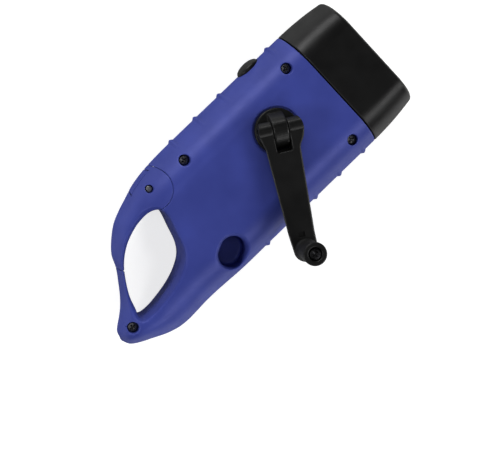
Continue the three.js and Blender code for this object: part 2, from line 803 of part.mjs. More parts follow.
// The head's section at one y: the housing's section drawn in towards the front.
function headEdges(y, inset = 0) {
  const share = Math.max(0, (y - seamY) / headLength);
  const width = halfWidth + (frontWidth / 2 - halfWidth) * share;
  const height = middleZ + (frontThickness / 2 - middleZ) * share;
  const full = shoulder + (width * headShoulderShare - shoulder) * share;
  return {
    left: -width + inset, right: width - inset, leftRound: full - inset, rightRound: full - inset,
    top: height - inset, back: height - inset,
  };
}

// A block with the head's section, less an inset all round. Behind the seam the section doesn't change.
function headBlock(back, front, inset) {
  const stations = back < seamY && front > seamY ? [back, seamY, front] : [back, front];
  return loft(stations.map(y => sectionRing(y, headEdges(y, inset))));
}

function bezel() {
  const back = seamY + seamGap / 2;
  const round = [
    sectionRing(back, headEdges(back, rimRound / 3)),
    sectionRing(back + rimRound / 3, headEdges(back)),
    sectionRing(headFrontY - rimRound, headEdges(headFrontY - rimRound)),
    sectionRing(headFrontY - rimRound / 3, headEdges(headFrontY, rimRound / 3)),
    sectionRing(headFrontY, headEdges(headFrontY, rimRound)),
  ];
  const collarInset = wall + gap;
  const bore = collarInset + headWall;
  const lensSeat = headFrontY - lensRecess - lensThickness - gap;
  const collar = headBlock(seamY - collarLength, back + rimRound, collarInset);
  return loft(round).add(collar)
    .subtract(headBlock(seamY - collarLength - overrun, lensSeat, bore))
    .subtract(headBlock(lensSeat, headFrontY + overrun, headWall));
}

function ledPlaces() {
  return [-1, 0, 1].map(step => ({ x: step * ledPitch, z: middleZ }));
}

function reflector(back) {
  const front = back + reflectorLength;
  const inset = wall + headWall + 2 * gap;
  let piece = headBlock(back, front, inset);
  const throat = ledFlange.radius + gap;
  const cupHeight = headEdges(front, inset).top - wall / 2;
  const mouth = Math.min(cupRadius, cupHeight);
  for (const at of ledPlaces()) {
    const floor = back + ledFlange.height + gap;
    const cup = turnedGeometry([
      [0, back - overrun], [throat, back - overrun], [throat, floor],
      [mouth * cupWaist.across, floor + reflectorLength * cupWaist.along], [mouth, front],
      [mouth, front + overrun], [0, front + overrun],
    ]).rotateX(-Math.PI / 2).translate(at.x, 0, at.z);
    piece = piece.subtract(solidOf(cup));
  }
  return piece;
}

function led(at, back) {
  const domeStart = back + ledLength - ledRadius;
  const profile = [[0, back], [ledFlange.radius, back], [ledFlange.radius, back + ledFlange.height],
    [ledRadius, back + ledFlange.height], [ledRadius, domeStart]];
  for (let i = 1; i <= domeSteps; i++) {
    const turn = i / domeSteps * Math.PI / 2;
    profile.push([ledRadius * Math.cos(turn), domeStart + ledRadius * Math.sin(turn)]);
  }
  return solidOf(turnedGeometry(profile, coarse).rotateX(-Math.PI / 2).translate(at.x, 0, at.z));
}

function lampHead() {
  const group = new THREE.Group();
  group.add(named('head_bezel', bezel(), blackAbs));
  const lensFront = headFrontY - lensRecess;
  const lensBack = lensFront - lensThickness;
  const lensInset = headWall + gap;
  group.add(named('lens', headBlock(lensBack, lensFront, lensInset), clearAcrylic));
  const reflectorBack = lensBack - gap - reflectorLength;
  group.add(named('reflector', reflector(reflectorBack), chromed));
  const boardFront = reflectorBack - gap;
  const inset = wall + headWall + 2 * gap;
  const ledBoard = headBlock(boardFront - ledBoardThickness, boardFront, inset);
  group.add(named('led_board', ledBoard, boardGreen));
  ['led_left', 'led_middle', 'led_right'].forEach((name, i) =>
    group.add(named(name, led(ledPlaces()[i], reflectorBack), ledEpoxy)));
  return group;
}

// Switch, board and what it carries

function switchButton() {
  const rim = -halfWidth;
  const inside = -halfWidth + wall + buttonFlange.inside;
  const stemEnd = inside + buttonFlange.height + gap;
  const dome = [];
  for (let i = domeSteps; i >= 0; i--) {
    const turn = i / domeSteps * Math.PI / 2;
    dome.push([buttonRadius * Math.cos(turn), rim - buttonProud * Math.sin(turn)]);
  }
  const profile = [...dome, [buttonRadius, inside], [buttonFlange.radius, inside],
    [buttonFlange.radius, inside + buttonFlange.height], [2 * plungerRadius, inside + buttonFlange.height],
    [2 * plungerRadius, stemEnd], [0, stemEnd]];
  const geometry = turnedGeometry(profile).rotateY(Math.PI / 2).translate(0, buttonY, middleZ);
  return { solid: solidOf(geometry), stemEnd };
}

function electronics() {
  const group = new THREE.Group();
  const at = { y: buttonY, z: middleZ };
  const button = switchButton();
  group.add(named('switch_button', button.solid, blackAbs));
  const boardLeft = boardX - boardThickness / 2;
  const bodyLeft = boardLeft - gap - switchBody.depth;
  const plungerLeft = button.stemEnd + gap;
  const plungerRight = bodyLeft + (buttonTravel - gap);
  const plunger = rodAlongX(plungerRadius, plungerLeft, plungerRight, at, coarse);
  group.add(named('switch_plunger', plunger, whiteNylon));
  const body = block(bodyLeft, bodyLeft + switchBody.depth, buttonY - switchBody.width / 2,
    buttonY + switchBody.width / 2, middleZ - switchBody.height / 2, middleZ + switchBody.height / 2);
  const roomRight = plungerRight + buttonTravel + gap;
  const plungerRoom = rodAlongX(plungerRadius + gap, bodyLeft - gap, roomRight, at, coarse);
  group.add(named('switch_body', body.subtract(plungerRoom), blackAbs));
  const panel = block(boardLeft, boardLeft + boardThickness, board.back, board.front, boardLow, boardHigh);
  group.add(named('main_board', panel, boardGreen));
  const canBack = board.back + capacitor.inset;
  const canAt = { x: boardLeft - gap - capacitor.radius, z: middleZ };
  const can = rodAlongY(capacitor.radius, canBack, canBack + capacitor.length, canAt, coarse);
  group.add(named('capacitor', can, ferrite));
  const diodeX = boardLeft + boardThickness + gap + diode.radius;
  const diodeLow = middleZ + diode.rise - diode.length / 2;
  for (let i = 0; i < diode.count; i++) {
    const place = { x: diodeX, y: board.back + diode.inset + i * diode.pitch };
    const body = rod(diode.radius, diodeLow, diodeLow + diode.length, place, coarse);
    group.add(named(`diode_${i + 1}`, body, blackAbs));
  }
  return group;
}

// Cells in their cradle

function battery() {
  const group = new THREE.Group();
  const pitch = cellThickness + gap;
  for (let i = 0; i < cellCount; i++) {
    const left = cellsLeft + i * pitch;
    group.add(named(`cell_${i + 1}`, rodAlongX(cellRadius, left, left + cellThickness, cellsMiddle), steel));
  }
  const right = cellsLeft + cellCount * pitch - gap;
  const inner = cellRadius + gap;
  const outer = inner + cradleWall;
  const left = cellsLeft + cradleInset;
  const trough = rodAlongX(outer, left, right, cellsMiddle)
    .subtract(rodAlongX(inner, cellsLeft - overrun, right + overrun, cellsMiddle))
    .intersect(block(left, right, -bodyWidth, 0, 0, cellsMiddle.z - inner * cradleRimShare));
  const half = cradleFoot.length / 2;
  const footLow = floorZ + gap;
  const feet = [left + cradleFoot.width, right - cradleFoot.width].map(edge =>
    block(edge, edge + cradleFoot.width, cellsMiddle.y - half, cellsMiddle.y + half, footLow,
      cellsMiddle.z - cellRadius)
      .subtract(rodAlongX(inner, cellsLeft - overrun, right + overrun, cellsMiddle)));
  group.add(named('battery_cradle', feet.reduce((sum, foot) => sum.add(foot), trough), blackAbs));
  return group;
}

// Gears

// A gear's outline: straight flanks, thinner than the spaces so that the train runs free.
function gearShape(teeth, module, phase = 0, bore = 0) {
  const radius = pitchRadius(teeth, module);
  const [tip, root] = [radius + toothHeights.above * module, radius - toothHeights.below * module];
  const rootShare = 0.27;
  const tipShare = 0.12;
  const shape = new THREE.Shape();
  for (let i = 0; i < teeth; i++) {
    const corners = [[-rootShare, root], [-tipShare, tip], [tipShare, tip], [rootShare, root]];
    for (const [share, reach] of corners) {
      const p = polar(zero, phase + (i + share) * 360 / teeth, reach);
      if (i === 0 && share === -rootShare) shape.moveTo(p.x, p.y);
      else shape.lineTo(p.x, p.y);
    }
  }
  if (bore) {
    const hole = new THREE.Path();
    hole.absarc(0, 0, bore, 0, 2 * Math.PI, true);
    shape.holes.push(hole);
  }
  return shape;
}

function gearAt(at, teeth, module, phase, bore, low, high) {
  const shape = gearShape(teeth, module, phase, bore);
  return solidOf(plateGeometry(shape, low, high, coarse / 2).translate(at.x, at.y, 0));
}

// The phase that puts a space where the other gear, on the far side of this angle, has a tooth.
const meshPhase = (angle, teeth) => angle + 180 + 180 / teeth;

function crankDriveGear() {
  const { teeth, module } = crankGear;
  const gear = gearAt(crankAxis, teeth, module, idlerA.angle, 0, crankGearLow, crankGearTop);
  const side = squareSize + 2 * gap;
  const bore = new THREE.BoxGeometry(side, side, 2 * (crankGear.height + overrun))
    .translate(0, 0, crankGearLow).rotateZ(radians(crankRestAngle)).translate(crankAxis.x, crankAxis.y, 0);
  return gear.subtract(solidOf(bore));
}

// An idler: a wheel with a pinion on top of it, which the gear before it drives.
function idlerGear(spec, axis, nextAngle, pinionModule, [low, top, pinionTop]) {
  const phase = meshPhase(spec.angle, spec.pinionTeeth);
  const pinion = gearAt(axis, spec.pinionTeeth, pinionModule, phase, axleHole, top - gap, pinionTop);
  return gearAt(axis, spec.teeth, spec.module, nextAngle, axleHole, low, top).add(pinion);
}

function bar(a, b, width, low, high) {
  const length = Math.hypot(b.x - a.x, b.y - a.y);
  const box = new THREE.BoxGeometry(length, width, high - low)
    .translate(length / 2, 0, (low + high) / 2)
    .rotateZ(Math.atan2(b.y - a.y, b.x - a.x)).translate(a.x, a.y, 0);
  return solidOf(box).add(rod(width / 2, low, high, a, coarse)).add(rod(width / 2, low, high, b, coarse));
}

function gearPlate() {
  const [lowerRight, left, upperRight] = platePosts;
  const route = [left, rotorAxis, upperRight, axisB, lowerRight, axisA, left];
  let piece = bar(route[0], route[1], gearPlateWidth, gearPlateLow, gearPlateTop);
  for (let i = 1; i + 1 < route.length; i++) {
    piece = piece.add(bar(route[i], route[i + 1], gearPlateWidth, gearPlateLow, gearPlateTop));
  }
  for (const at of [axisA, axisB, rotorAxis]) {
    piece = piece.subtract(rod(axleHole, 0, bodyThickness, at, coarse));
  }
  for (const at of platePosts) {
    piece = piece.subtract(rod(plateScrew.shank + gap, 0, bodyThickness, at, coarse));
  }
  return piece;
}

function gearTrain() {
  const group = new THREE.Group();
  const levelsA = [idlerALow, idlerATop, idlerAPinionTop];
  const levelsB = [idlerBLow, idlerBTop, idlerBPinionTop];
  const gearA = idlerGear(idlerA, axisA, idlerB.angle, crankGear.module, levelsA);
  const gearB = idlerGear(idlerB, axisB, rotorPinion.angle, idlerA.module, levelsB);
  group.add(named('idler_gear_a', gearA, whiteNylon));
  group.add(named('idler_gear_b', gearB, whiteNylon));
  const axleTop = bodyThickness - wall - gap;
  const axleA = rod(axleRadius, gearPlateLow, axleTop, axisA, coarse);
  const axleB = rod(axleRadius, gearPlateLow, idlerBPinionTop + gap, axisB, coarse);
  group.add(named('idler_axle_a', axleA, steel));
  group.add(named('idler_axle_b', axleB, steel));
  group.add(named('gear_plate', gearPlate(), whiteNylon));
  platePosts.forEach((at, i) => {
    const seat = gearPlateTop + gap;
    const low = seat - plateScrew.length + gap;
    const screw = rod(plateScrew.shank, low, seat + gap, at, coarse)
      .add(rod(plateScrew.head, seat, seat + plateScrew.height, at, coarse));
    group.add(named(`gear_plate_screw_${i + 1}`, screw, steel));
  });
  return group;
}

// Generator

function generator() {
  const group = new THREE.Group();
  const pinionLow = gearPlateTop + gap;
  const pinionTop = pinionLow + rotorPinion.height;
  const shaft = rod(axleRadius, floorZ + gap, pinionTop + gap, rotorAxis, coarse);
  group.add(named('rotor_shaft', shaft, steel));
  const phase = meshPhase(rotorPinion.angle, rotorPinion.teeth);
  const pinion = gearAt(rotorAxis, rotorPinion.teeth, idlerB.module, phase, axleHole, pinionLow, pinionTop);
  group.add(named('rotor_pinion', pinion, whiteNylon));
  const magnetLow = statorLow + magnetRise;
  const magnet = tube(axleHole, rotorRadius, magnetLow, magnetLow + magnetHeight, rotorAxis);
  group.add(named('rotor_magnet', magnet, ferrite));
  const lidLow = statorTop - statorSheet;
  const cup = turned([
    [statorBore, statorLow], [statorRadius, statorLow], [statorRadius, lidLow - gap],
    [statorRadius - statorSheet, lidLow - gap], [statorRadius - statorSheet, statorLow + statorSheet],
    [statorBore, statorLow + statorSheet],
  ], rotorAxis);
  group.add(named('stator_cup', cup, steel));
  group.add(named('stator_lid', tube(statorBore, statorRadius, lidLow, statorTop, rotorAxis), steel));
  const bobbinLow = statorLow + statorSheet + gap;
  const bobbinTop = lidLow - gap;
  const bobbinOut = statorRadius - statorSheet - gap;
  const bobbin = turned([
    [statorBore, bobbinLow], [bobbinOut, bobbinLow], [bobbinOut, bobbinLow + bobbinWall],
    [statorBore + bobbinWall, bobbinLow + bobbinWall], [statorBore + bobbinWall, bobbinTop - bobbinWall],
    [bobbinOut, bobbinTop - bobbinWall], [bobbinOut, bobbinTop], [statorBore, bobbinTop],
  ], rotorAxis);
  group.add(named('coil_bobbin', bobbin, whiteNylon));
  const coilLow = bobbinLow + bobbinWall + gap;
  const coilTop = bobbinTop - bobbinWall - gap;
  const coil = tube(statorBore + bobbinWall + gap, bobbinOut - gap, coilLow, coilTop, rotorAxis);
  group.add(named('coil_winding', coil, copper));
  return group;
}

// Crank: everything here is drawn along the arm (u along the arm from the hub's axis, v across it)

function hub() {
  const discLow = bodyThickness - hubRecessDepth + gap;
  const squareTop = crankGearTop + gap;
  const disc = turned([
    [0, squareTop], [shaftRadius, squareTop], [shaftRadius, discLow], [hubRadius, discLow],
    [hubRadius, hubTop - hubEdge], [hubRadius - hubEdge, hubTop], [0, hubTop],
  ], zero, fine);
  const half = squareSize / 2;
  const square = block(-half, half, -half, half, crankGearLow + gap, squareTop + gap);
  const crown = hingePinZ + lugCrown;
  const end = hubTop + lugEndHeight;
  const side = new THREE.Shape();
  side.moveTo(-lugReach.far, hubTop - hubEdge);
  side.lineTo(lugReach.near, hubTop - hubEdge);
  side.lineTo(lugReach.near, end);
  side.quadraticCurveTo(lugReach.near * lugFullShare, crown, -hingePinOffset, crown);
  side.quadraticCurveTo(-lugReach.far * lugFullShare, crown, -lugReach.far, end);
  const settings = { depth: lugWidth, bevelEnabled: false, curveSegments: lugSteps };
  const lug = solidOf(new THREE.ExtrudeGeometry(side, settings)
    .rotateX(Math.PI / 2).translate(0, lugWidth / 2, 0));
  const pinHole = solidOf(rodGeometry(hingePinRadius + gap, -lugWidth, lugWidth, coarse)
    .rotateX(-Math.PI / 2).translate(-hingePinOffset, 0, hingePinZ));
  const screwHole = rod(crankScrew.shank + gap, 0, crankGearLow + crankScrew.length + gap, zero, coarse);
  return disc.add(lug).add(square).subtract(pinHole).subtract(screwHole);
}

function armOutline() {
  const end = armLength - hingePinOffset;
  const halfAt = u => (armRootWidth + (armEndWidth - armRootWidth) * (u - hubRadius / 2) / end) / 2;
  const neckAngle = Math.acos(armNeckShare);
  const shape = new THREE.Shape();
  shape.absarc(0, 0, hubRadius, neckAngle, 2 * Math.PI - neckAngle, false);
  shape.lineTo(end, -halfAt(end));
  shape.absarc(end, 0, halfAt(end), -Math.PI / 2, Math.PI / 2, false);
  return shape;
}

function arm() {
  const end = armLength - hingePinOffset;
  const body = solidOf(new THREE.ExtrudeGeometry(armOutline(), {
    depth: armThickness - 2 * armBevel, bevelEnabled: true, bevelThickness: armBevel,
    bevelSize: armBevel, bevelOffset: -armBevel, bevelSegments: 1, curveSegments: coarse,
  }).translate(0, 0, armLow + armBevel));
  const far = 2 * armLength;
  const beyondPin = block(-hingePinOffset, far, -far, far, 0, far);
  const barrel = solidOf(rodGeometry(barrelRadius, -hubRadius, hubRadius)
    .rotateX(-Math.PI / 2).translate(-hingePinOffset, 0, hingePinZ));
  const eyes = barrel.intersect(rod(hubRadius, 0, far, zero, fine));
  const slotEnd = slotReach - hingePinOffset;
  const slotHalf = lugWidth / 2 + gap;
  const slot = block(-far, slotEnd, -slotHalf, slotHalf, 0, far);
  const pinHole = solidOf(rodGeometry(hingePinRadius + gap, -hubRadius, hubRadius, coarse)
    .rotateX(-Math.PI / 2).translate(-hingePinOffset, 0, hingePinZ));
  const pocketMiddle = end - armPocket.before;
  const pocket = block(pocketMiddle - armPocket.length / 2, pocketMiddle + armPocket.length / 2,
    -armPocket.width / 2, armPocket.width / 2, armTop - armPocket.depth, far);
  const screwAt = { x: end, y: 0 };
  const screwHole = rod(knobScrewRadius + gap, armLow + knobScrewFloor, far, screwAt, coarse);
  const holes = [slot, pinHole, pocket, screwHole];
  return holes.reduce((left, hole) => left.subtract(hole), body.intersect(beyondPin).add(eyes));
}

// The knob's barrel is waisted between a flange and a rounded cap, with a sunk seat for its screw.
function knob() {
  const low = armTop + gap;
  return turned([
    [knobScrewRadius + gap, low], [knobRadius, low], [knobRadius, low + knobFlange],
    [knobBarrelRadius, low + knobFlange + knobTaper], [knobBarrelRadius, knobTop - knobCap - knobTaper],
    [knobRadius, knobTop - knobCap], [knobRadius, knobTop - knobEdge], [knobRadius - knobEdge, knobTop],
    [counterboreRadius, knobTop], [counterboreRadius, knobTop - counterboreDepth],
    [knobScrewRadius + gap, knobTop - counterboreDepth],
  ], { x: armLength - hingePinOffset, y: 0 });
}

function knobScrew() {
  const seat = knobTop - counterboreDepth + gap;
  const tip = armLow + knobScrewFloor + gap;
  return turned([
    [0, tip], [knobScrewRadius, tip], [knobScrewRadius, seat], [knobScrewHead.radius, seat],
    [knobScrewHead.radius, seat + knobScrewHead.height], [0, seat + knobScrewHead.height],
  ], { x: armLength - hingePinOffset, y: 0 }, coarse);
}

function crank() {
  const group = new THREE.Group();
  group.position.set(crankAxis.x, crankAxis.y, 0);
  group.rotation.z = radians(crankRestAngle);
  group.add(named('crank_hub', hub(), blackAbs));
  const pinHalf = Math.sqrt(hubRadius ** 2 - barrelRadius ** 2) - gap;
  const pin = rodGeometry(hingePinRadius, -pinHalf, pinHalf, coarse)
    .rotateX(-Math.PI / 2).translate(-hingePinOffset, 0, hingePinZ);
  group.add(named('hinge_pin', solidOf(pin), steel));
  const head = crankGearLow - gap;
  const screw = rod(crankScrew.radius, head - crankScrew.height, head, undefined, coarse)
    .add(rod(crankScrew.shank, head - gap, head + crankScrew.length - gap, undefined, coarse));
  group.add(named('crank_screw', screw, steel));
  group.add(named('crank_arm', arm(), blackAbs));
  group.add(named('crank_knob', knob(), blackAbs));
  group.add(named('knob_screw', knobScrew(), steel));
  return group;
}

function crankDrive() {
  const group = new THREE.Group();
  const top = bodyThickness - hubRecessDepth;
  const bushLow = crankGearTop + gap;
  const bush = tube(shaftRadius + gap, shaftRadius + gap + bushWall, bushLow, top, crankAxis);
  group.add(named('crank_bush', bush, brass));
  group.add(named('crank_gear', crankDriveGear(), whiteNylon));
  return group;
}

const torch = new THREE.Group();
const groups = [housing, carabiner, lampHead, electronics, battery, gearTrain, generator, crank, crankDrive];
for (const group of groups) torch.add(group());

export default torch;
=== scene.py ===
"""Looks of a hand crank torch with a carabiner loop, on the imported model.
Lengths are in millimetres until a mesh is made."""

import json
import math

import bpy
import numpy as np
from mathutils import Matrix, Vector


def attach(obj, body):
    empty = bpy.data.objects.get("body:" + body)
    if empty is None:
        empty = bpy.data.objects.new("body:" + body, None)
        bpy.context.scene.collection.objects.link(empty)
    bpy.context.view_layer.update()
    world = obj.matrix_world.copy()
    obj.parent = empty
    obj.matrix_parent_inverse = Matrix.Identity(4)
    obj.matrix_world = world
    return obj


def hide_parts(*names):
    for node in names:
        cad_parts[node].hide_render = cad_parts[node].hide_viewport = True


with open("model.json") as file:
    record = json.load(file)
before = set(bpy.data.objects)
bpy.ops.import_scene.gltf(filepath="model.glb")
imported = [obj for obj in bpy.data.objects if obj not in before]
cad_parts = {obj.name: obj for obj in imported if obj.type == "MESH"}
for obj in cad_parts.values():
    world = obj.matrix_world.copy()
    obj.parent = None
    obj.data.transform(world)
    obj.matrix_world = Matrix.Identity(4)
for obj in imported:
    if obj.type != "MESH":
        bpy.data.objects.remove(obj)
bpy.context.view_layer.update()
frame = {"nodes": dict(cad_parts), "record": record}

MM = 0.001


def away(start, reach, turn):
    """The point at a reach from another, in the direction of an angle."""
    return start[0] + reach * math.cos(turn), start[1] + reach * math.sin(turn)


# Housing, in the solids' sizes, but with its tail's skin nearer to the real one

HALF_WIDTH = 25.0
THICKNESS = 32.0
MIDDLE = THICKNESS / 2
SEAM_Y = 24.6
TAIL_START = -28.0
TAIL_LENGTH = 62.0
SKIN_LENGTH = 61.3
TAIL_END = TAIL_START - SKIN_LENGTH
SHOULDER = 13.0
WALL = 2.0
GAP = 0.3
GATE_GAP = 0.12
PARTING = 0.15
SEAM_GAP, SEAM_EDGE = 0.25, 0.35

# Along the tail, then left and right edge of half the width, then crank side and back of half the thickness
TAIL = np.array([
    [0.000, -1.000, 1.000, 1.000, 1.000],
    [0.200, -0.985, 1.000, 0.980, 1.000],
    [0.330, -0.940, 0.985, 0.950, 1.000],
    [0.420, -0.868, 0.975, 0.930, 1.000],
    [0.500, -0.800, 0.975, 0.905, 1.000],
    [0.570, -0.720, 0.985, 0.880, 1.000],
    [0.645, -0.575, 0.990, 0.855, 1.000],
    [0.702, -0.420, 0.976, 0.835, 0.990],
    [0.733, -0.255, 0.957, 0.825, 0.985],
    [0.780, -0.085, 0.918, 0.805, 0.970],
    [0.822, 0.056, 0.870, 0.790, 0.950],
    [0.868, 0.185, 0.812, 0.760, 0.910],
    [0.915, 0.285, 0.755, 0.700, 0.830],
    [0.960, 0.365, 0.690, 0.580, 0.680],
    [0.988, 0.425, 0.630, 0.430, 0.500],
    [1.000, 0.480, 0.585, 0.300, 0.340],
])
# Outlines in the tail: across it in half widths, then along it in tail lengths
LOOP = np.array([
    [-0.544, 0.374], [-0.540, 0.445], [-0.484, 0.532], [-0.392, 0.610], [-0.250, 0.682],
    [-0.096, 0.732], [0.140, 0.790], [0.310, 0.816], [0.412, 0.832], [0.480, 0.821],
    [0.508, 0.766], [0.492, 0.677], [0.448, 0.581], [0.372, 0.494], [0.264, 0.424],
    [0.130, 0.384], [-0.120, 0.350], [-0.380, 0.321], [-0.490, 0.332],
])
TAIL_ROOM = np.array([
    [-0.94, -0.02], [-0.94, 0.12], [-0.36, 0.17], [-0.24, 0.22], [0.22, 0.285], [0.46, 0.35], [0.6, 0.46],
    [0.66, 0.56], [0.70, 0.66], [0.74, 0.72], [0.80, 0.74], [0.86, 0.70], [0.94, 0.56], [0.94, -0.02],
])
GATE_SIDE = np.array([[-0.44, 0.372], [-0.1, 0.55], [0.2, 0.72], [0.2, 1.0]])

RIB_FIRST, RIB_PITCH, RIBS, SWITCH_RIB = 18.9, 11.8, 5, 1
RIB_HALF, RIB_HEIGHT, RIB_REACH, RIB_FADE = 1.3, 0.7, 11.0, 5.0

# Crank

CRANK = (-4.0, 0.0)
REST = math.radians(-31)
HUB_R = 7.95
HUB_TOP = 33.0
PIN_U = -1.0
PIN_Z = 36.5
ARM_LOW, ARM_TOP, ARM_END = 34.0, 39.0, 42.0
KNOB_HEIGHT, KNOB_SINK = 15.8, 1.6
KNOB_TOP = ARM_TOP + GAP + KNOB_HEIGHT
KNOB_HOLE_R, KNOB_HOLE_LOW = 1.6, ARM_LOW + 1
KNOB_SCREW_TIP = KNOB_HOLE_LOW + GAP
KNOB_SCREW_SEAT = KNOB_TOP - KNOB_SINK + GAP
WELL_ANGLE = math.radians(-63.1)
WELL = away(CRANK, 44, WELL_ANGLE)
WELL_R, WELL_STRETCH, WELL_WALL = 4.8, 1.8, 3.4
WELL_FLOOR = 2 * PIN_Z - KNOB_TOP - 2 * GAP

# Gate, screws, gear axles and button

PIVOT = (-19.6, TAIL_START - 0.287 * TAIL_LENGTH)
GATE_TIP = (HALF_WIDTH * -0.336, TAIL_START - 0.739 * TAIL_LENGTH)
GATE_REACH = math.hypot(GATE_TIP[0] - PIVOT[0], GATE_TIP[1] - PIVOT[1])
EYE_R = 7.7
HOLE_R = 1.4
SCREWS = [(-17.1, 17.4), (17.1, 17.4), (-18.6, -30.2), (HALF_WIDTH * 0.46, TAIL_START - 0.8903 * TAIL_LENGTH)]
SCREW_SINK, SCREW_LENGTH, SCREW_WELL_R = 5.0, 15.0, 2
BOSS_R = 3.4
AXIS_A = away(CRANK, 18, math.radians(-50))
AXIS_B = away(AXIS_A, 13.5, math.radians(75))
ROTOR = away(AXIS_B, 12, math.radians(135))
BUTTON_Y = 9.1

# Lamp head

HEAD_LENGTH = 20.0
FRONT_Y = SEAM_Y + HEAD_LENGTH
FRONT_HALF, FRONT_THICK, FRONT_ROUND = 23.3, 13.5, 0.46
HEAD_SWELL = 1.8
COLLAR_BACK = 21.6
# How far inside the head's outer form its collar, room, lens seat, lens and reflector tray lie
COLLAR_INSET, ROOM_INSET, SEAT_INSET, LENS_INSET, TRAY_INSET = 2.3, 4.1, 1.8, 2.1, 4.4
TRAY_BACK, TRAY_FRONT = 28.9, 40.9
CUP_START, CUP_LENGTH, CUP_R, CUP_FLARE = 30.2, 10.7, 3.2, 3.1
LENS_BACK, LENS_FRONT = 41.2, 43.2
LED_X = (-14.0, 0.0, 14.0)


# Shapes as distances: a field is negative inside a piece

def hermite(table, share, column):
    """The solids' smooth curve through one column of a table of shares."""
    rows = len(table)
    i = np.clip(np.searchsorted(table[:, 0], share, side="left") - 1, 0, rows - 2)
    slopes = np.zeros(rows)
    for k in range(1, rows):
        after = min(rows - 1, k + 1)
        slopes[k] = (table[after, column] - table[k - 1, column]) / (table[after, 0] - table[k - 1, 0])
    span = table[i + 1, 0] - table[i, 0]
    t = (share - table[i, 0]) / span
    return ((2 * t**3 - 3 * t**2 + 1) * table[i, column] + (t**3 - 2 * t**2 + t) * span * slopes[i]
            + (3 * t**2 - 2 * t**3) * table[i + 1, column] + (t**3 - t**2) * span * slopes[i + 1])


def swell(y, side):
    """How far the grip ribs stand out, soft at both flanks as a moulded rib is."""
    out = np.zeros_like(y)
    for i in range(RIBS):
        if side < 0 and i == SWITCH_RIB:
            continue
        off = np.clip(np.abs(y - (RIB_FIRST - i * RIB_PITCH)) / RIB_HALF, 0, 1)
        out = np.maximum(out, 1 - off**2 * (3 - 2 * off))
    return RIB_HEIGHT * out


SECTION_STEP = 0.1
SMOOTHED_STEPS = 60
# Shares of the width for the roundings of its two sides: both together, each, and both once smoothed
BOTH_ROUNDS, EACH_ROUND, SMOOTHED_ROUNDS = 0.96, 0.62, 0.98


def section_tables():
    """The housing's edges, roundings and heights at small steps along it."""
    y = np.arange(TAIL_END - 6, FRONT_Y + 1, SECTION_STEP)
    share = np.clip((TAIL_START - y) / SKIN_LENGTH, 0, 1)
    left, right, top, back = (hermite(TAIL, share, k) for k in (1, 2, 3, 4))
    left, right, top, back = left * HALF_WIDTH, right * HALF_WIDTH, top * MIDDLE, back * MIDDLE
    rounds = [SHOULDER * np.hypot(1, np.gradient(edge, y)) for edge in (left, right)]
    width = right - left
    crowd = np.minimum(1, BOTH_ROUNDS * width / (rounds[0] + rounds[1]))
    rounds = [np.minimum(r * crowd, EACH_ROUND * width) for r in rounds]
    smooth = np.hanning(2 * SMOOTHED_STEPS + 3)[1:-1]
    smooth /= smooth.sum()
    padded = [np.pad(r, SMOOTHED_STEPS, "edge") for r in rounds]
    left_round, right_round = (np.convolve(r, smooth, "valid") for r in padded)
    crowd = np.minimum(1, SMOOTHED_ROUNDS * width / (left_round + right_round))
    return y, left, right, left_round * crowd, right_round * crowd, top, back


SECTION = section_tables()


def section(y):
    return [np.interp(y, SECTION[0], column) for column in SECTION[1:]]


def skin_level(x, y, z, inset, ribs):
    left, right, left_round, right_round, top, back = section(y)
    if ribs:
        low = np.clip((RIB_REACH - np.abs(z - MIDDLE)) / RIB_FADE, 0, 1)
        out_left, out_right = swell(y, -1) * low, swell(y, 1) * low
        left, right = left - out_left, right + out_right
        left_round, right_round = left_round + out_left, right_round + out_right
    from_left = 1 - (x - left - inset) / np.maximum(left_round - inset, 0.5)
    from_right = 1 - (right - inset - x) / np.maximum(right_round - inset, 0.5)
    off = np.maximum(0, np.maximum(from_left, from_right))
    tall = np.maximum(np.where(z > MIDDLE, top, back) - inset, 0.5)
    return np.hypot(off, (z - MIDDLE) / tall) - 1


def true_distance(level, x, y, z):
    """A level set's value over its slope, which is a distance near its surface."""
    h = 0.05
    along_x = level(x + h, y, z) - level(x - h, y, z)
    along_y = level(x, y + h, z) - level(x, y - h, z)
    along_z = level(x, y, z + h) - level(x, y, z - h)
    slope = np.sqrt(along_x**2 + along_y**2 + along_z**2) / (2 * h)
    return level(x, y, z) / np.maximum(slope, 0.02)


def hull(x, y, z, inset=0.0, ribs=True):
    """The housing's outer skin, or the skin that lies an inset below it."""
    return true_distance(lambda a, b, c: skin_level(a, b, c, inset, ribs), x, y, z)


def skin_height(at, side=1):
    """The height of the housing's skin over a point."""
    left, right, left_round, right_round, top, back = (float(v) for v in section(np.array(at[1])))
    off = min(1, max(0, 1 - (at[0] - left) / left_round, 1 - (right - at[0]) / right_round))
    return MIDDLE + side * (top if side > 0 else back) * math.sqrt(1 - off**2)


def round_max(a, b, r):
    """Where two faces meet, an outer edge rounded by r."""
    return np.minimum(np.maximum(a, b), -r) + np.hypot(np.maximum(a + r, 0), np.maximum(b + r, 0))


def round_min(a, b, r):
    """Where two forms join, an inner corner filled by r."""
    return -round_max(-a, -b, r)


def quarter_round(u, v, down, across, outside):
    """An elliptical rounding where both shares u and v are above zero, and the outside distance elsewhere."""
    k = np.maximum(np.hypot(u, v), 1e-6)
    slope = np.hypot(u / down, v / across) / k
    return np.where((u > 0) & (v > 0), (k - 1) / np.maximum(slope, 1e-3), outside)


def rim(a, b, across, down):
    """An elliptical rounding between the skin a and the wall b of an opening."""
    return quarter_round(1 + a / down, 1 + b / across, down, across, np.maximum(a, b))


def disc(x, y, at, r):
    return np.hypot(x - at[0], y - at[1]) - r


def along(x, y, start, turn):
    """Coordinates along a direction and across it, from a starting point."""
    dx, dy = x - start[0], y - start[1]
    return dx * math.cos(turn) + dy * math.sin(turn), -dx * math.sin(turn) + dy * math.cos(turn)


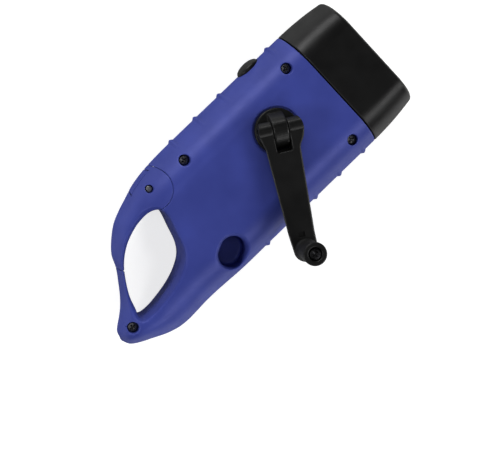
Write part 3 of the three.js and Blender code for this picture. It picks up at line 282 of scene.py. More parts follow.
def polygon(points, x, y):
    """Signed distance to a closed outline, negative inside."""
    x, y = np.broadcast_arrays(x, y)
    near = np.full(x.shape, 1e9)
    inside = np.zeros(x.shape, bool)
    for (ax, ay), (bx, by) in zip(points, np.roll(points, -1, axis=0)):
        ex, ey = bx - ax, by - ay
        t = np.clip(((x - ax) * ex + (y - ay) * ey) / (ex * ex + ey * ey), 0, 1)
        near = np.minimum(near, (x - ax - t * ex)**2 + (y - ay - t * ey)**2)
        crosses = (ay > y) != (by > y)
        if by != ay:
            inside ^= crosses & (x < ax + (y - ay) / (by - ay) * ex)
    return np.where(inside, -1, 1) * np.sqrt(near)


def tail_points(shares, length=TAIL_LENGTH):
    return np.column_stack([HALF_WIDTH * shares[:, 0], TAIL_START - shares[:, 1] * length])


def closed_curve(points, count):
    """A smooth closed curve through points, at even steps."""
    n = len(points)
    length = np.linalg.norm(np.roll(points, -1, axis=0) - points, axis=1)**0.5
    out = []
    for i in range(n):
        p0, p1, p2, p3 = (points[(i + k) % n] for k in (-1, 0, 1, 2))
        d0, d1, d2 = length[(i - 1) % n], length[i], length[(i + 1) % n]
        m1 = d1 * ((p1 - p0) / d0 - (p2 - p0) / (d0 + d1) + (p2 - p1) / d1)
        m2 = d1 * ((p2 - p1) / d1 - (p3 - p1) / (d1 + d2) + (p3 - p2) / d2)
        for t in np.arange(12) / 12:
            out.append((2 * t**3 - 3 * t**2 + 1) * p1 + (t**3 - 2 * t**2 + t) * m1
                       + (3 * t**2 - 2 * t**3) * p2 + (t**3 - t**2) * m2)
    out = np.array(out + out[:1])
    run = np.concatenate([[0], np.cumsum(np.linalg.norm(np.diff(out, axis=0), axis=1))])
    at = np.linspace(0, run[-1], count, endpoint=False)
    return np.column_stack([np.interp(at, run, out[:, k]) for k in (0, 1)])


MAP_STEP = 0.25
MAP_X = np.arange(-30, 22, MAP_STEP)
MAP_Y = np.arange(-96, -36, MAP_STEP)
LOOP_MAP = polygon(closed_curve(tail_points(LOOP, SKIN_LENGTH), 150), MAP_X[:, None], MAP_Y[None, :])


def loop_distance(x, y):
    """Distance to the loop opening's outline, read from its map by cubic steps."""
    x, y = np.broadcast_arrays(np.clip(x, MAP_X[2], MAP_X[-4]), np.clip(y, MAP_Y[2], MAP_Y[-4]))
    fx, fy = (x - MAP_X[0]) / MAP_STEP, (y - MAP_Y[0]) / MAP_STEP
    ix, iy = np.floor(fx).astype(int), np.floor(fy).astype(int)
    tx, ty = fx - ix, fy - iy

    def weights(t):
        before, after = -t**3 / 2 + t**2 - t / 2, t**3 / 2 - t**2 / 2
        return [before, 1.5 * t**3 - 2.5 * t**2 + 1, -1.5 * t**3 + 2 * t**2 + t / 2, after]

    total = 0
    for i, wx in enumerate(weights(tx)):
        for j, wy in enumerate(weights(ty)):
            total = total + wx * wy * LOOP_MAP[ix + i - 1, iy + j - 1]
    return total


LOOP_TOP, LOOP_TIP = tail_points(LOOP[[0, 8]], SKIN_LENGTH)
LOOP_SPAN = math.dist(LOOP_TOP, LOOP_TIP)
# The rim's rounding across and down: on the gate's side, and how much more it is on the soft inner side
RIM_ACROSS, RIM_ACROSS_MORE = 0.9, 2.1
RIM_DOWN, RIM_DOWN_MORE = 1.1, 5.9
RIM_CHANGE = 8

GATE_OUTLINE = np.vstack([
    [[PIVOT[0] - GATE_REACH, PIVOT[1]], [PIVOT[0], PIVOT[1]]], tail_points(GATE_SIDE),
    [[PIVOT[0] - GATE_REACH, TAIL_END]],
])


def gate_region(x, y):
    """What the carabiner's gate takes out of the housing."""
    swept = np.maximum(disc(x, y, PIVOT, GATE_REACH), polygon(GATE_OUTLINE, x, y))
    return np.minimum(disc(x, y, PIVOT, EYE_R), swept)


def looped_form(x, y, z):
    """The outer form with its softened loop opening, whose rim is measured down from the skin."""
    form = round_max(hull(x, y, z), TAIL_END - y, 1.5)
    off = loop_distance(x, y)
    left, right, left_round, right_round, top, back = section(y)
    flat = np.clip(np.maximum(1 - (x - left) / left_round, 1 - (right - x) / right_round), 0, 1)
    tall = np.where(z > MIDDLE, top, back) * np.sqrt(1 - flat**2)
    room = np.maximum(off, 0) + np.maximum(0, np.minimum(x - left, right - x))
    lean = (LOOP_TOP[1] - LOOP_TIP[1], LOOP_TIP[0] - LOOP_TOP[0])
    inner = ((x - LOOP_TOP[0]) * lean[0] + (y - LOOP_TOP[1]) * lean[1]) / LOOP_SPAN
    soft = np.where(z > MIDDLE, np.clip(0.5 - inner / RIM_CHANGE, 0, 1), 1)
    across = np.clip(0.4 * room, 0.3, RIM_ACROSS + RIM_ACROSS_MORE * soft)
    down = np.clip(0.6 * tall, 0.5, RIM_DOWN + RIM_DOWN_MORE * soft)
    rounded = quarter_round(1 + (np.abs(z - MIDDLE) - tall) / down, 1 - off / across, down, across, -off)
    return np.maximum(form, rounded)


def box_field(x, y, z, low, high):
    out = [np.maximum(l - v, v - h) for v, l, h in zip((x, y, z), low, high)]
    return np.maximum(np.maximum(out[0], out[1]), out[2])


# Hinge of the gate: the housing's tongue with its pocket for the spring, and the slot in the gate's eye

TONGUE_TURN, TONGUE_R, TONGUE_HALF, TONGUE_RISE = math.radians(60), 6, 4.5, 5
SPRING_R, SPRING_RISE = 3.6, 3.05
SLOT_TURNS, SLOT_R, SLOT_HALF, SLOT_RISE = (60, 50, 41), 6.3, 4.8, 5.3


def tongue(x, y, z):
    """The part of the housing that the gate's eye straddles."""
    u, v = along(x, y, PIVOT, TONGUE_TURN)
    neck = np.maximum(np.maximum(-u, u - EYE_R - WALL), np.abs(v) - TONGUE_HALF)
    plan = np.minimum(disc(x, y, PIVOT, TONGUE_R), neck)
    solid = np.maximum(np.maximum(plan, np.abs(z - MIDDLE) - TONGUE_RISE), hull(x, y, z))
    pocket = np.maximum(disc(x, y, PIVOT, SPRING_R), np.abs(z - MIDDLE) - SPRING_RISE)
    return np.maximum(np.maximum(solid, -pocket), -disc(x, y, PIVOT, HOLE_R))


def carabiner_gate(x, y, z):
    form = round_max(looped_form(x, y, z), gate_region(x, y), 0.25)
    slot = disc(x, y, PIVOT, SLOT_R)
    for degrees in SLOT_TURNS:
        u, v = along(x, y, PIVOT, math.radians(degrees))
        slot = np.minimum(slot, np.maximum(-u, np.abs(v) - SLOT_HALF))
    slot = np.maximum(slot, np.abs(z - MIDDLE) - SLOT_RISE)
    return round_max(np.maximum(form, -slot), HOLE_R - disc(x, y, PIVOT, 0), 0.3)


# Shells

BEARING_R, BEARING_LOW, BORE_R = 9.2 + WALL, 28.6, 4.6
AXLE_BOSS_R, AXLE_BOSS_LOW, AXLE_R = 2.3, 27.3, 1.3
RECESS_R, RECESS_FLOOR = 8.6, 30.6
BUTTON_HOLE_R, BUTTON_FLANGE_R, BUTTON_ROOM = 4.8, 5.7, 5
SLEEVE_R, SLEEVE_TOP = 2.3, 4.2
POSTS = ((17.5, -13.5), (-10.5, -3.0), (17.5, 10.2))
POST_R, POST_TOP, POST_DRILL_R, POST_DRILL_LOW = 2.4, 13.1, 1.1, 7.4
# Two pairs of short rails hold the board's lower edge: their places, half length, sides, lip and heights
RAILS, RAIL_HALF = (-5.0, 10.0), 2
RAIL_LEFT, RAIL_RIGHT, RAIL_LIP = -17.9, -13.7, 1.0
RAIL_LOW, RAIL_SEAT, RAIL_TOP = 0.5, 5.7, 9


def room_inside(x, y, z):
    """The hollow of the housing, less the bosses that stand in it."""
    straight = np.maximum(hull(x, np.maximum(y, TAIL_START + 1), z, WALL, False), TAIL_START - 1 - y)
    plan = polygon(tail_points(TAIL_ROOM), x, y)
    tail = np.maximum(hull(x, y, z, WALL, False), plan)
    well = np.maximum(disc(x, y, WELL, WELL_R + WELL_STRETCH + WELL_WALL), MIDDLE + PARTING - z)
    tail = np.maximum(np.maximum(tail, -well), -disc(x, y, PIVOT, EYE_R + GAP + WALL))
    room = np.minimum(straight, tail)
    for place in SCREWS[:3]:
        room = np.maximum(room, -disc(x, y, place, BOSS_R))
    bearing = np.maximum(disc(x, y, CRANK, BEARING_R), BEARING_LOW - z)
    axle = np.maximum(disc(x, y, AXIS_A, AXLE_BOSS_R), AXLE_BOSS_LOW - z)
    return np.maximum(np.maximum(room, -bearing), -axle)


def housing_skin(x, y, z):
    """The outer form of the housing, less the gate's place."""
    form = round_max(looped_form(x, y, z), y - (SEAM_Y - SEAM_GAP), SEAM_EDGE)
    return round_max(form, GATE_GAP - gate_region(x, y), 0.25)


def hollowed(form, x, y, z):
    """A shell's form with its room, its hinge tongue and its switch hole."""
    form = np.maximum(form, -room_inside(x, y, z))
    form = np.minimum(form, tongue(x, y, z))
    across = np.hypot(y - BUTTON_Y, z - MIDDLE)
    flange = np.maximum(across - BUTTON_FLANGE_R, -HALF_WIDTH + WALL - GAP - x)
    hole = np.minimum(across - BUTTON_HOLE_R, flange)
    return round_max(form, -np.maximum(hole, x + HALF_WIDTH - BUTTON_ROOM), 0.3)


def front_shell(x, y, z):
    form = housing_skin(x, y, z)
    recess = np.maximum(disc(x, y, CRANK, RECESS_R), RECESS_FLOOR - z)
    form = rim(form, -recess, 0.25, 0.25)
    u, v = along(x, y, WELL, WELL_ANGLE)
    stadium = np.hypot(u - np.clip(u, 0, WELL_STRETCH), v) - WELL_R
    form = rim(form, -round_max(stadium, WELL_FLOOR - z, 1.0), 1.4, 3)
    for place in SCREWS:
        sunk = np.maximum(disc(x, y, place, SCREW_WELL_R), skin_height(place) - SCREW_SINK - z)
        form = np.maximum(round_max(form, -sunk, 0.3), -disc(x, y, place, HOLE_R))
    form = round_max(hollowed(form, x, y, z), MIDDLE + PARTING - z, 0.2)
    form = np.maximum(form, -disc(x, y, CRANK, BORE_R))
    return np.maximum(form, -np.maximum(disc(x, y, AXIS_A, AXLE_R), z - THICKNESS + WALL))


def back_shell(x, y, z):
    form = round_max(hollowed(housing_skin(x, y, z), x, y, z), z - MIDDLE + PARTING, 0.2)
    sleeve = np.maximum(disc(x, y, ROTOR, SLEEVE_R), AXLE_R - disc(x, y, ROTOR, 0))
    fittings = np.maximum(sleeve, z - SLEEVE_TOP)
    for place in POSTS:
        post = np.maximum(disc(x, y, place, POST_R), z - POST_TOP)
        drill = np.maximum(disc(x, y, place, POST_DRILL_R), POST_DRILL_LOW - z)
        fittings = np.maximum(np.minimum(fittings, post), -drill)
    for rail in RAILS:
        start, end = rail - RAIL_HALF, rail + RAIL_HALF
        for left, right, top in (
            (RAIL_LEFT, RAIL_RIGHT, RAIL_SEAT), (RAIL_LEFT, RAIL_LEFT + RAIL_LIP, RAIL_TOP),
            (RAIL_RIGHT - RAIL_LIP, RAIL_RIGHT, RAIL_TOP),
        ):
            fittings = np.minimum(fittings, box_field(x, y, z, (left, start, RAIL_LOW), (right, end, top)))
    form = np.minimum(form, np.maximum(fittings, hull(x, y, z, WALL / 2, False)))
    for place in SCREWS:
        drill_low = skin_height(place) - SCREW_SINK - SCREW_LENGTH - GAP
        form = np.maximum(form, -np.maximum(disc(x, y, place, HOLE_R), drill_low - z))
    return form


# Lamp head

def head_level(x, y, z, inset):
    share = np.clip((y - SEAM_Y) / HEAD_LENGTH, 0, 1.1)
    swelling = HEAD_SWELL * np.maximum(share * (1 - share), 0)
    width = HALF_WIDTH + (FRONT_HALF - HALF_WIDTH) * share + swelling - inset
    height = MIDDLE + (FRONT_THICK - MIDDLE) * share - inset
    full = SHOULDER + ((width + inset) * FRONT_ROUND - SHOULDER) * share - inset
    off = np.maximum(0, 1 - (width - np.abs(x)) / full)
    return np.hypot(off, (z - MIDDLE) / height) - 1


def head_form(x, y, z, inset=0.0):
    return true_distance(lambda a, b, c: head_level(a, b, c, inset), x, y, z)


def head_bezel(x, y, z):
    shell = round_max(head_form(x, y, z), y - FRONT_Y, 1.3)
    shell = round_max(shell, SEAM_Y + SEAM_GAP - y, SEAM_EDGE)
    collar = np.maximum(head_form(x, y, z, COLLAR_INSET), np.maximum(COLLAR_BACK - y, y - SEAM_Y - 1))
    shell = np.minimum(shell, collar)
    shell = np.maximum(shell, -np.maximum(head_form(x, y, z, ROOM_INSET), y - TRAY_FRONT))
    return round_max(shell, -np.maximum(head_form(x, y, z, SEAT_INSET), TRAY_FRONT - y), 0.4)


def lens(x, y, z):
    return round_max(head_form(x, y, z, LENS_INSET), np.maximum(LENS_BACK - y, y - LENS_FRONT), 0.35)


def reflector(x, y, z):
    """A tray with one bright parabolic cup for each lamp."""
    tray = round_max(head_form(x, y, z, TRAY_INSET), np.maximum(TRAY_BACK - y, y - TRAY_FRONT), 0.3)
    flare = CUP_FLARE * np.sqrt(np.clip((y - CUP_START) / CUP_LENGTH, 0, 1.1))
    cup = np.minimum.reduce([np.hypot(x - at, z - MIDDLE) - CUP_R - flare for at in LED_X])
    return np.maximum(tray, -0.7 * cup)


# Crank, drawn along the arm: u from the hub's axis towards the knob, v across it

PIN_HOLE_R = 1.3
PLATE_LOW = 30.9
SHAFT_R, SHAFT_LOW, SHAFT_TOP = 3, 26.7, 31.5
SQUARE_HALF, SQUARE_LOW, SQUARE_TOP = 2, 24.1, 27
HUB_DRILL_R, HUB_DRILL_TOP = 1.3, 30.1
LUG_BACK, LUG_FRONT, LUG_RISE, LUG_HALF, LUG_FOOT = -6.4, 6.6, 3.3, 2.6, 1.2
FORK_ASIDE, ROOT_ASIDE, BLADE_ASIDE = 0.15, 0.3, -0.33
BLADE_START, BLADE_HALF, BLADE_TIP_HALF, BLADE_RETURN = 8, 6.0, 4.35, 6
ARM_EDGE, ARM_DRAFT = 0.3, 0.2
BEVEL, BEVEL_WIDTH = math.radians(33), 0.45
BARREL_R = 3
FORK_SLOT_END, FORK_SLOT_HALF = 7.2, 2.85
POCKET_U, POCKET_V, POCKET_HALF_U, POCKET_HALF_V, POCKET_DEPTH = ARM_END - 5.6, -0.4, 0.95, 1.25, 0.8


def lug_outline():
    """The hub's lug from the side: an arch over the hinge pin."""
    crown, end = PIN_Z + LUG_RISE, HUB_TOP + LUG_FOOT
    t = np.linspace(0, 1, 13)
    curve = lambda a, b, c: np.outer((1 - t)**2, a) + np.outer(2 * t * (1 - t), b) + np.outer(t**2, c)
    over = curve((LUG_FRONT, end), (LUG_FRONT * 0.62, crown), (PIN_U, crown))
    back = curve((PIN_U, crown), (-4.6, crown), (LUG_BACK, end))[1:]
    return np.vstack([[[LUG_BACK, HUB_TOP - 1], [LUG_FRONT, HUB_TOP - 1]], over, back])


LUG = lug_outline()


def crank_hub(x, y, z):
    u, v = along(x, y, CRANK, REST)
    r = np.hypot(u, v)
    plate = round_max(r - HUB_R, np.maximum(PLATE_LOW - z, z - HUB_TOP), 0.5)
    shaft = np.maximum(r - SHAFT_R, np.maximum(SHAFT_LOW - z, z - SHAFT_TOP))
    lug = round_max(polygon(LUG, u, z), np.abs(v - FORK_ASIDE) - LUG_HALF, 0.45)
    sides = np.maximum(np.abs(u), np.abs(v)) - SQUARE_HALF
    square = np.maximum(sides, np.maximum(SQUARE_LOW - z, z - SQUARE_TOP))
    form = round_min(plate, lug, 0.3)
    form = np.minimum(form, np.minimum(shaft, square))
    form = np.maximum(form, PIN_HOLE_R - np.hypot(u - PIN_U, z - PIN_Z))
    return np.maximum(form, -np.maximum(r - HUB_DRILL_R, z - HUB_DRILL_TOP))


def crank_arm(x, y, z):
    u, v = along(x, y, CRANK, REST)
    aside = v - BLADE_ASIDE * np.clip((ARM_END - u) / BLADE_RETURN, 0, 1)
    half = BLADE_HALF + (BLADE_TIP_HALF - BLADE_HALF) * (u - BLADE_START) / (ARM_END - BLADE_START)
    blade = np.where(u < ARM_END, np.maximum(np.abs(aside) - half, -u), np.hypot(u - ARM_END, v) - half)
    root = np.hypot(u, v - ROOT_ASIDE) - HUB_R
    plan = round_min(root, blade, 0.8)
    drafted = plan + ARM_DRAFT * np.clip(ARM_TOP - ARM_EDGE - z, 0, ARM_TOP - ARM_LOW)
    form = round_max(drafted, np.abs(z - (ARM_LOW + ARM_TOP) / 2) - (ARM_TOP - ARM_LOW) / 2, ARM_EDGE)
    form = round_max(form, (plan + BEVEL_WIDTH) * math.sin(BEVEL) + (z - ARM_TOP) * math.cos(BEVEL), 0.1)
    form = np.maximum(form, PIN_U - u)
    barrel = np.maximum(np.hypot(u - PIN_U, z - PIN_Z) - BARREL_R, root)
    form = np.minimum(form, barrel)
    slot = round_max(u - FORK_SLOT_END, np.abs(v - FORK_ASIDE) - FORK_SLOT_HALF, 0.9)
    form = round_max(form, -slot, 0.35)
    form = np.maximum(form, PIN_HOLE_R - np.hypot(u - PIN_U, z - PIN_Z))
    pocket = round_max(np.abs(u - POCKET_U) - POCKET_HALF_U, np.abs(v - POCKET_V) - POCKET_HALF_V, 0.3)
    form = np.maximum(form, -np.maximum(pocket, ARM_TOP - POCKET_DEPTH - z))
    hole = np.maximum(np.hypot(u - ARM_END, v) - KNOB_HOLE_R, KNOB_HOLE_LOW - z)
    return np.maximum(form, -hole)


# Screws, standing at the origin with the seat of the head at z = 0

CROSS_HALF = 0.28
INTO_HEAD = 0.3
SCREW_R, THREAD_PITCH, THREAD_CORE, THREAD_DEPTH = 1.1, 0.9, 0.88, 0.22


def crossed_head(x, y, z, r, high, arm):
    """A screw's domed head with its crossed recess."""
    across = np.hypot(x, y)
    head = np.maximum(round_max(across - r, z - high + 0.06 * across**2, 0.3), -z)
    aside, ahead = np.abs(x), np.abs(y)
    one, other = np.maximum(aside - CROSS_HALF, ahead - arm), np.maximum(ahead - CROSS_HALF, aside - arm)
    return np.maximum(head, -np.maximum(np.minimum(one, other), 0.45 + across * 0.35 - z))


def knob_screw(x, y, z):
    """The plain-shanked screw that the knob turns on."""
    ends = np.maximum(KNOB_SCREW_TIP - KNOB_SCREW_SEAT - z, z - INTO_HEAD)
    shank = round_max(np.hypot(x, y) - 1.3, ends, 0.2)
    return np.minimum(crossed_head(x, y, z, 2.05, 1.1, 1.35), shank)


def shell_screw(x, y, z):
    """A self-tapping screw with a pointed tip."""
    r = np.hypot(x, y)
    turn = np.arctan2(y, x) / (2 * math.pi)
    ridge = np.abs((z + THREAD_PITCH * turn) / THREAD_PITCH % 1 - 0.5) * 2
    ends = np.maximum(-SCREW_LENGTH - z, z - INTO_HEAD)
    shank = np.maximum(r - THREAD_CORE - THREAD_DEPTH * ridge * (z < -1), ends)
    shank = np.maximum(shank, r - SCREW_R - (z + SCREW_LENGTH) * 0.8)
    return np.minimum(crossed_head(x, y, z, 1.7, 2.3, 1.15), shank)


# Meshes

def gradient(field, p, h=0.02):
    return np.column_stack([(field(*(p + s).T) - field(*(p - s).T)) / (2 * h) for s in np.eye(3) * h])


def in_parts(work, p, size=120_000):
    return np.concatenate([work(p[i:i + size]) for i in range(0, len(p), size)])


def drawn(field, low, high, cell):
    """Corners, faces and corner normals of a field's surface, with its creases kept.
    Each cell that the surface crosses gets the corner that fits the crossings' planes best."""
    low = np.array(low, float)
    counts = np.ceil((np.array(high, float) - low) / cell).astype(int) + 1
    x, y, z = (low[k] + cell * np.arange(counts[k]) for k in range(3))
    found = field(x[:, None, None], y[None, :, None], z[None, None, :])
    values = np.array(np.broadcast_to(found, counts))
    inside = values < 0
    cells, points, quads = [], [], []
    for k in range(3):
        here, there = [slice(None)] * 3, [slice(None)] * 3
        here[k], there[k] = slice(0, -1), slice(1, None)
        crossing = inside[tuple(here)] != inside[tuple(there)]
        at = np.argwhere(crossing)
        v0, v1 = values[tuple(here)][crossing], values[tuple(there)][crossing]
        p = low + cell * at
        p[:, k] += cell * v0 / (v0 - v1)
        i, j = (k + 1) % 3, (k + 2) % 3
        corners = []
        for di, dj in ((-1, -1), (0, -1), (0, 0), (-1, 0)):
            c = at.copy()
            c[:, i] += di
            c[:, j] += dj
            corners.append((c[:, 0] * counts[1] + c[:, 1]) * counts[2] + c[:, 2])
        corners = np.column_stack(corners)
        outward = v0 < 0
        quads.append(np.where(outward[:, None], corners, corners[:, ::-1]))
        cells.append(corners)
        points.append(p)
    points, cells, quads = np.concatenate(points), np.concatenate(cells), np.concatenate(quads)
    normals = in_parts(lambda q: gradient(field, q), points)
    size = np.maximum(np.linalg.norm(normals, axis=1), 1e-9)
    normals /= size[:, None]
    off = in_parts(lambda q: field(*q.T), points) / size
    used, number = np.unique(cells, return_inverse=True)
    flat = number.ravel()
    add_up = lambda w: np.bincount(flat, weights=np.repeat(w, 4), minlength=len(used))
    count = add_up(np.ones(len(points)))
    centre = np.column_stack([add_up(points[:, k]) for k in range(3)]) / count[:, None]
    level = np.einsum("ij,ij->i", normals, points) - off
    matrix = np.zeros((len(used), 3, 3))
    side = np.zeros((len(used), 3))
    for a in range(3):
        side[:, a] = add_up(normals[:, a] * level)
        for b in range(3):
            matrix[:, a, b] = add_up(normals[:, a] * normals[:, b])
    side -= np.einsum("nij,nj->ni", matrix, centre)
    # A light pull to the middle of the crossings settles the corners of flat cells.
    matrix += 0.08 * np.eye(3)
    moves = np.linalg.solve(matrix, side[:, :, None])[:, :, 0]
    corners = centre + np.clip(moves, -0.9 * cell, 0.9 * cell)
    order = np.searchsorted(used, quads)
    middles = corners[order].mean(axis=1)
    inner = (corners[order] * 0.65 + middles[:, None] * 0.35).reshape(-1, 3)
    shading = in_parts(lambda q: gradient(field, q), inner)
    shading /= np.maximum(np.linalg.norm(shading, axis=1), 1e-9)[:, None]
    return corners, order, shading


def smooth_mesh(name, corners, faces):
    mesh = bpy.data.meshes.new(name)
    mesh.from_pydata(corners * MM, [], faces)
    mesh.polygons.foreach_set("use_smooth", np.ones(len(faces), bool))
    return mesh


def placed(name, mesh, body, material):
    """Puts a mesh in the scene in place of the CAD node of its name."""
    mesh.materials.append(material)
    piece = bpy.data.objects.new(name + "_looks", mesh)
    bpy.context.scene.collection.objects.link(piece)
    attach(piece, body)
    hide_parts(name)
    return piece


def moulded(name, field, low, high, cell, body, material, at=(0, 0, 0)):
    """A piece whose shape a field gives. One that is drawn at the origin is set down at its place."""
    corners, faces, shading = drawn(field, low, high, cell)
    mesh = smooth_mesh(name, corners + np.array(at), faces)
    mesh.normals_split_custom_set(shading)
    return placed(name, mesh, body, material)


def softened(points, radius, steps=4):
    """A profile whose corners are rounded, each by radius or by less where its sides are short."""
    points = [Vector(p) for p in points]
    out = [points[0]]
    for before, corner, after in zip(points, points[1:], points[2:]):
        a, b = before - corner, after - corner
        reach = min(radius, 0.45 * a.length, 0.45 * b.length)
        start, end = corner + a.normalized() * reach, corner + b.normalized() * reach
        for i in range(steps + 1):
            t = i / steps
            out.append(start * (1 - t)**2 + corner * 2 * t * (1 - t) + end * t**2)
    return out + [points[-1]]


def turned(name, profile, turn, at, body, material, sides=64):
    """A turned piece from a profile of (radius, height), closed where it starts and ends on its axis."""
    rings = [(p[0], p[1]) for p in profile]
    angles = [2 * math.pi * i / sides for i in range(sides)]
    corners, faces, rows = [], [], []
    for r, h in rings:
        if r < 1e-6:
            rows.append([len(corners)] * sides)
            corners.append((0, 0, h))
        else:
            rows.append(list(range(len(corners), len(corners) + sides)))
            corners += [(r * math.cos(a), r * math.sin(a), h) for a in angles]
    pairs = list(zip(rows, rows[1:]))
    if rings[0][0] > 1e-6:
        pairs.append((rows[-1], rows[0]))
    for lower, upper in pairs:
        for i in range(sides):
            k = (i + 1) % sides
            face = list(dict.fromkeys((lower[i], lower[k], upper[k], upper[i])))
            if len(face) > 2:
                faces.append(face)
    mesh = smooth_mesh(name, np.array(corners) @ np.array(turn).T + np.array(at), faces)
    mesh.update()
    mesh.set_sharp_from_angle(angle=math.radians(38))
    return placed(name, mesh, body, material)


UPRIGHT = np.eye(3)
TO_X = np.array([[0.0, 0, 1], [0, 1, 0], [-1, 0, 0]])
TO_Y = np.array([[1.0, 0, 0], [0, 0, 1], [0, -1, 0]])


# Materials

def colour(code):
    """A colour from its sRGB hex value."""
    parts = [int(code[i:i + 2], 16) / 255 for i in (0, 2, 4)]
    return [c / 12.92 if c <= 0.04045 else ((c + 0.055) / 1.055)**2.4 for c in parts] + [1]


def add(tree, kind, inputs=(), stops=(), **settings):
    """Adds a node. Inputs are (socket, value or output to link), stops a ramp's (place, hex colour)."""
    made = tree.nodes.new(kind)
    for key, value in settings.items():
        setattr(made, key, value)
    for socket, value in inputs:
        if isinstance(value, bpy.types.NodeSocket):
            tree.links.new(value, made.inputs[socket])
        else:
            made.inputs[socket].default_value = value
    for i, (place, code) in enumerate(stops):
        elements = made.color_ramp.elements
        element = elements[i] if i < len(elements) else elements.new(place)
        element.position = place
        element.color = colour(code)
    return made


def surface(name, **sockets):
    """A material whose even values are set on its shader's own sockets."""
    material = bpy.data.materials.new(name)
    material.use_nodes = True
    tree = material.node_tree
    shader = tree.nodes["Principled BSDF"]
    for key, value in sockets.items():
        shader.inputs[key.replace("_", " ")].default_value = value
    where = add(tree, "ShaderNodeTexCoord").outputs["Object"]
    return material, tree, shader, where


def moulded_abs(name, deep, base, light, edge_highlight, rough, bump, gloss, sheen):
    """ABS from a spark-eroded mould: an even satin with a fine dull grain, and a painted highlight that makes
    its edges and corners paler.
    The real grain is about 0.05 mm, and is drawn at 0.35 mm so that it shows."""
    material, tree, shader, where = surface(name, IOR=1.54, Specular_IOR_Level=gloss,
                                            Specular_Tint=colour(sheen))
    broad = add(tree, "ShaderNodeTexNoise", [("Vector", where), ("Scale", 1 / (14 * MM)), ("Detail", 2)])
    tint = add(tree, "ShaderNodeValToRGB", [("Fac", broad.outputs["Fac"])],
               stops=[(0.3, deep), (0.5, base), (0.72, light)])
    # Convex edges and corners get a paler colour mixed in: a painted highlight.
    edge = add(tree, "ShaderNodeNewGeometry").outputs["Pointiness"]
    edge_highlight_share = add(tree, "ShaderNodeMapRange",
               [("Value", edge), ("From Min", 0.53), ("From Max", 0.6), ("To Max", 0.5)])
    mixed = add(tree, "ShaderNodeMix",
                [(0, edge_highlight_share.outputs["Result"]), (6, tint.outputs["Color"]), (7, colour(edge_highlight))],
                data_type="RGBA")
    tree.links.new(mixed.outputs[2], shader.inputs["Base Color"])
    patches = add(tree, "ShaderNodeTexNoise", [("Vector", where), ("Scale", 1 / (5 * MM)), ("Detail", 3)])
    dull = add(tree, "ShaderNodeMapRange",
               [("Value", patches.outputs["Fac"]), ("From Min", 0.3), ("From Max", 0.7),
                ("To Min", rough - 0.03), ("To Max", rough + 0.04)])
    # The steep sides, drawn out of the mould, are duller than the faces.
    facing = add(tree, "ShaderNodeSeparateXYZ", [(0, add(tree, "ShaderNodeTexCoord").outputs["Normal"])])
    upright = add(tree, "ShaderNodeMath", [(0, facing.outputs["Z"])], operation="ABSOLUTE")
    steep = add(tree, "ShaderNodeMapRange",
                [("Value", upright.outputs[0]), ("From Min", 0.1), ("From Max", 0.7),
                 ("To Min", 0.45), ("To Max", 0.0)])
    total = add(tree, "ShaderNodeMath", [(0, dull.outputs["Result"]), (1, steep.outputs["Result"])])
    tree.links.new(total.outputs[0], shader.inputs["Roughness"])
    fine = add(tree, "ShaderNodeTexNoise", [("Vector", where), ("Scale", 1 / (0.35 * MM)), ("Detail", 2)])
    relief = add(tree, "ShaderNodeBump",
                 [("Height", fine.outputs["Fac"]), ("Strength", bump), ("Distance", 0.05 * MM)])
    tree.links.new(relief.outputs["Normal"], shader.inputs["Normal"])
    return material


def grained(tree, shader, where, base, pale, millimetres, detail, strength, depth):
    """Two near colours and a faint relief that follow one noise, which is handed back."""
    noise = add(tree, "ShaderNodeTexNoise",
                [("Vector", where), ("Scale", 1 / (millimetres * MM)), ("Detail", detail)])
    marked = noise.outputs["Fac"]
    tint = add(tree, "ShaderNodeValToRGB", [("Fac", marked)], stops=[(0.35, base), (0.65, pale)])
    tree.links.new(tint.outputs["Color"], shader.inputs["Base Color"])
    relief = add(tree, "ShaderNodeBump",
                 [("Height", marked), ("Strength", strength), ("Distance", depth * MM)])
    tree.links.new(relief.outputs["Normal"], shader.inputs["Normal"])
    return marked


def metal(name, base, pale, rough, marks, lines=(1, 1, 1)):
    """Metal with fine marks from how it was made, stretched along lines."""
    material, tree, shader, where = surface(name, Metallic=1.0)
    stretched = add(tree, "ShaderNodeMapping", [("Vector", where), ("Scale", lines)]).outputs["Vector"]
    marked = grained(tree, shader, stretched, base, pale, marks, 4, 0.25, 0.03)
    dull = add(tree, "ShaderNodeMapRange",
               [("Value", marked), ("From Min", 0.3), ("From Max", 0.7),
                ("To Min", rough - 0.06), ("To Max", rough + 0.08)])
    tree.links.new(dull.outputs["Result"], shader.inputs["Roughness"])
    return material


def mottled(name, base, pale, millimetres, rough, bump, **sockets):
    """A matt or satin surface with soft mottling of two near colours."""
    material, tree, shader, where = surface(name, Roughness=rough, **sockets)
    grained(tree, shader, where, base, pale, millimetres, 3, bump, 0.04)
    return material


def copper_wire(name):
    """Enamelled copper wire wound round the bobbin: amber turns, with painted shade in the lines between them
    and a painted highlight on their crowns. The real wire is 0.2 mm thick. Its turns are drawn 0.4 mm apart,
    so that they show."""
    material, tree, shader, where = surface(name, Metallic=1.0, Coat_Weight=0.6, Coat_Roughness=0.12)
    # A wave of scale 1 repeats every 0.314 m.
    turns = add(tree, "ShaderNodeTexWave",
                [("Vector", where), ("Scale", 0.314 / (0.4 * MM)), ("Distortion", 0.4)], bands_direction="Z")
    # From the lines between the turns to their crowns, the colour goes from a painted shade to a painted
    # highlight.
    tint = add(tree, "ShaderNodeValToRGB", [("Fac", turns.outputs["Fac"])],
               stops=[(0.1, "5a2610"), (0.45, "b4632d"), (0.9, "d98a4a")])
    tree.links.new(tint.outputs["Color"], shader.inputs["Base Color"])
    relief = add(tree, "ShaderNodeBump",
                 [("Height", turns.outputs["Fac"]), ("Strength", 0.7), ("Distance", 0.1 * MM)])
    tree.links.new(relief.outputs["Normal"], shader.inputs["Normal"])
    return material


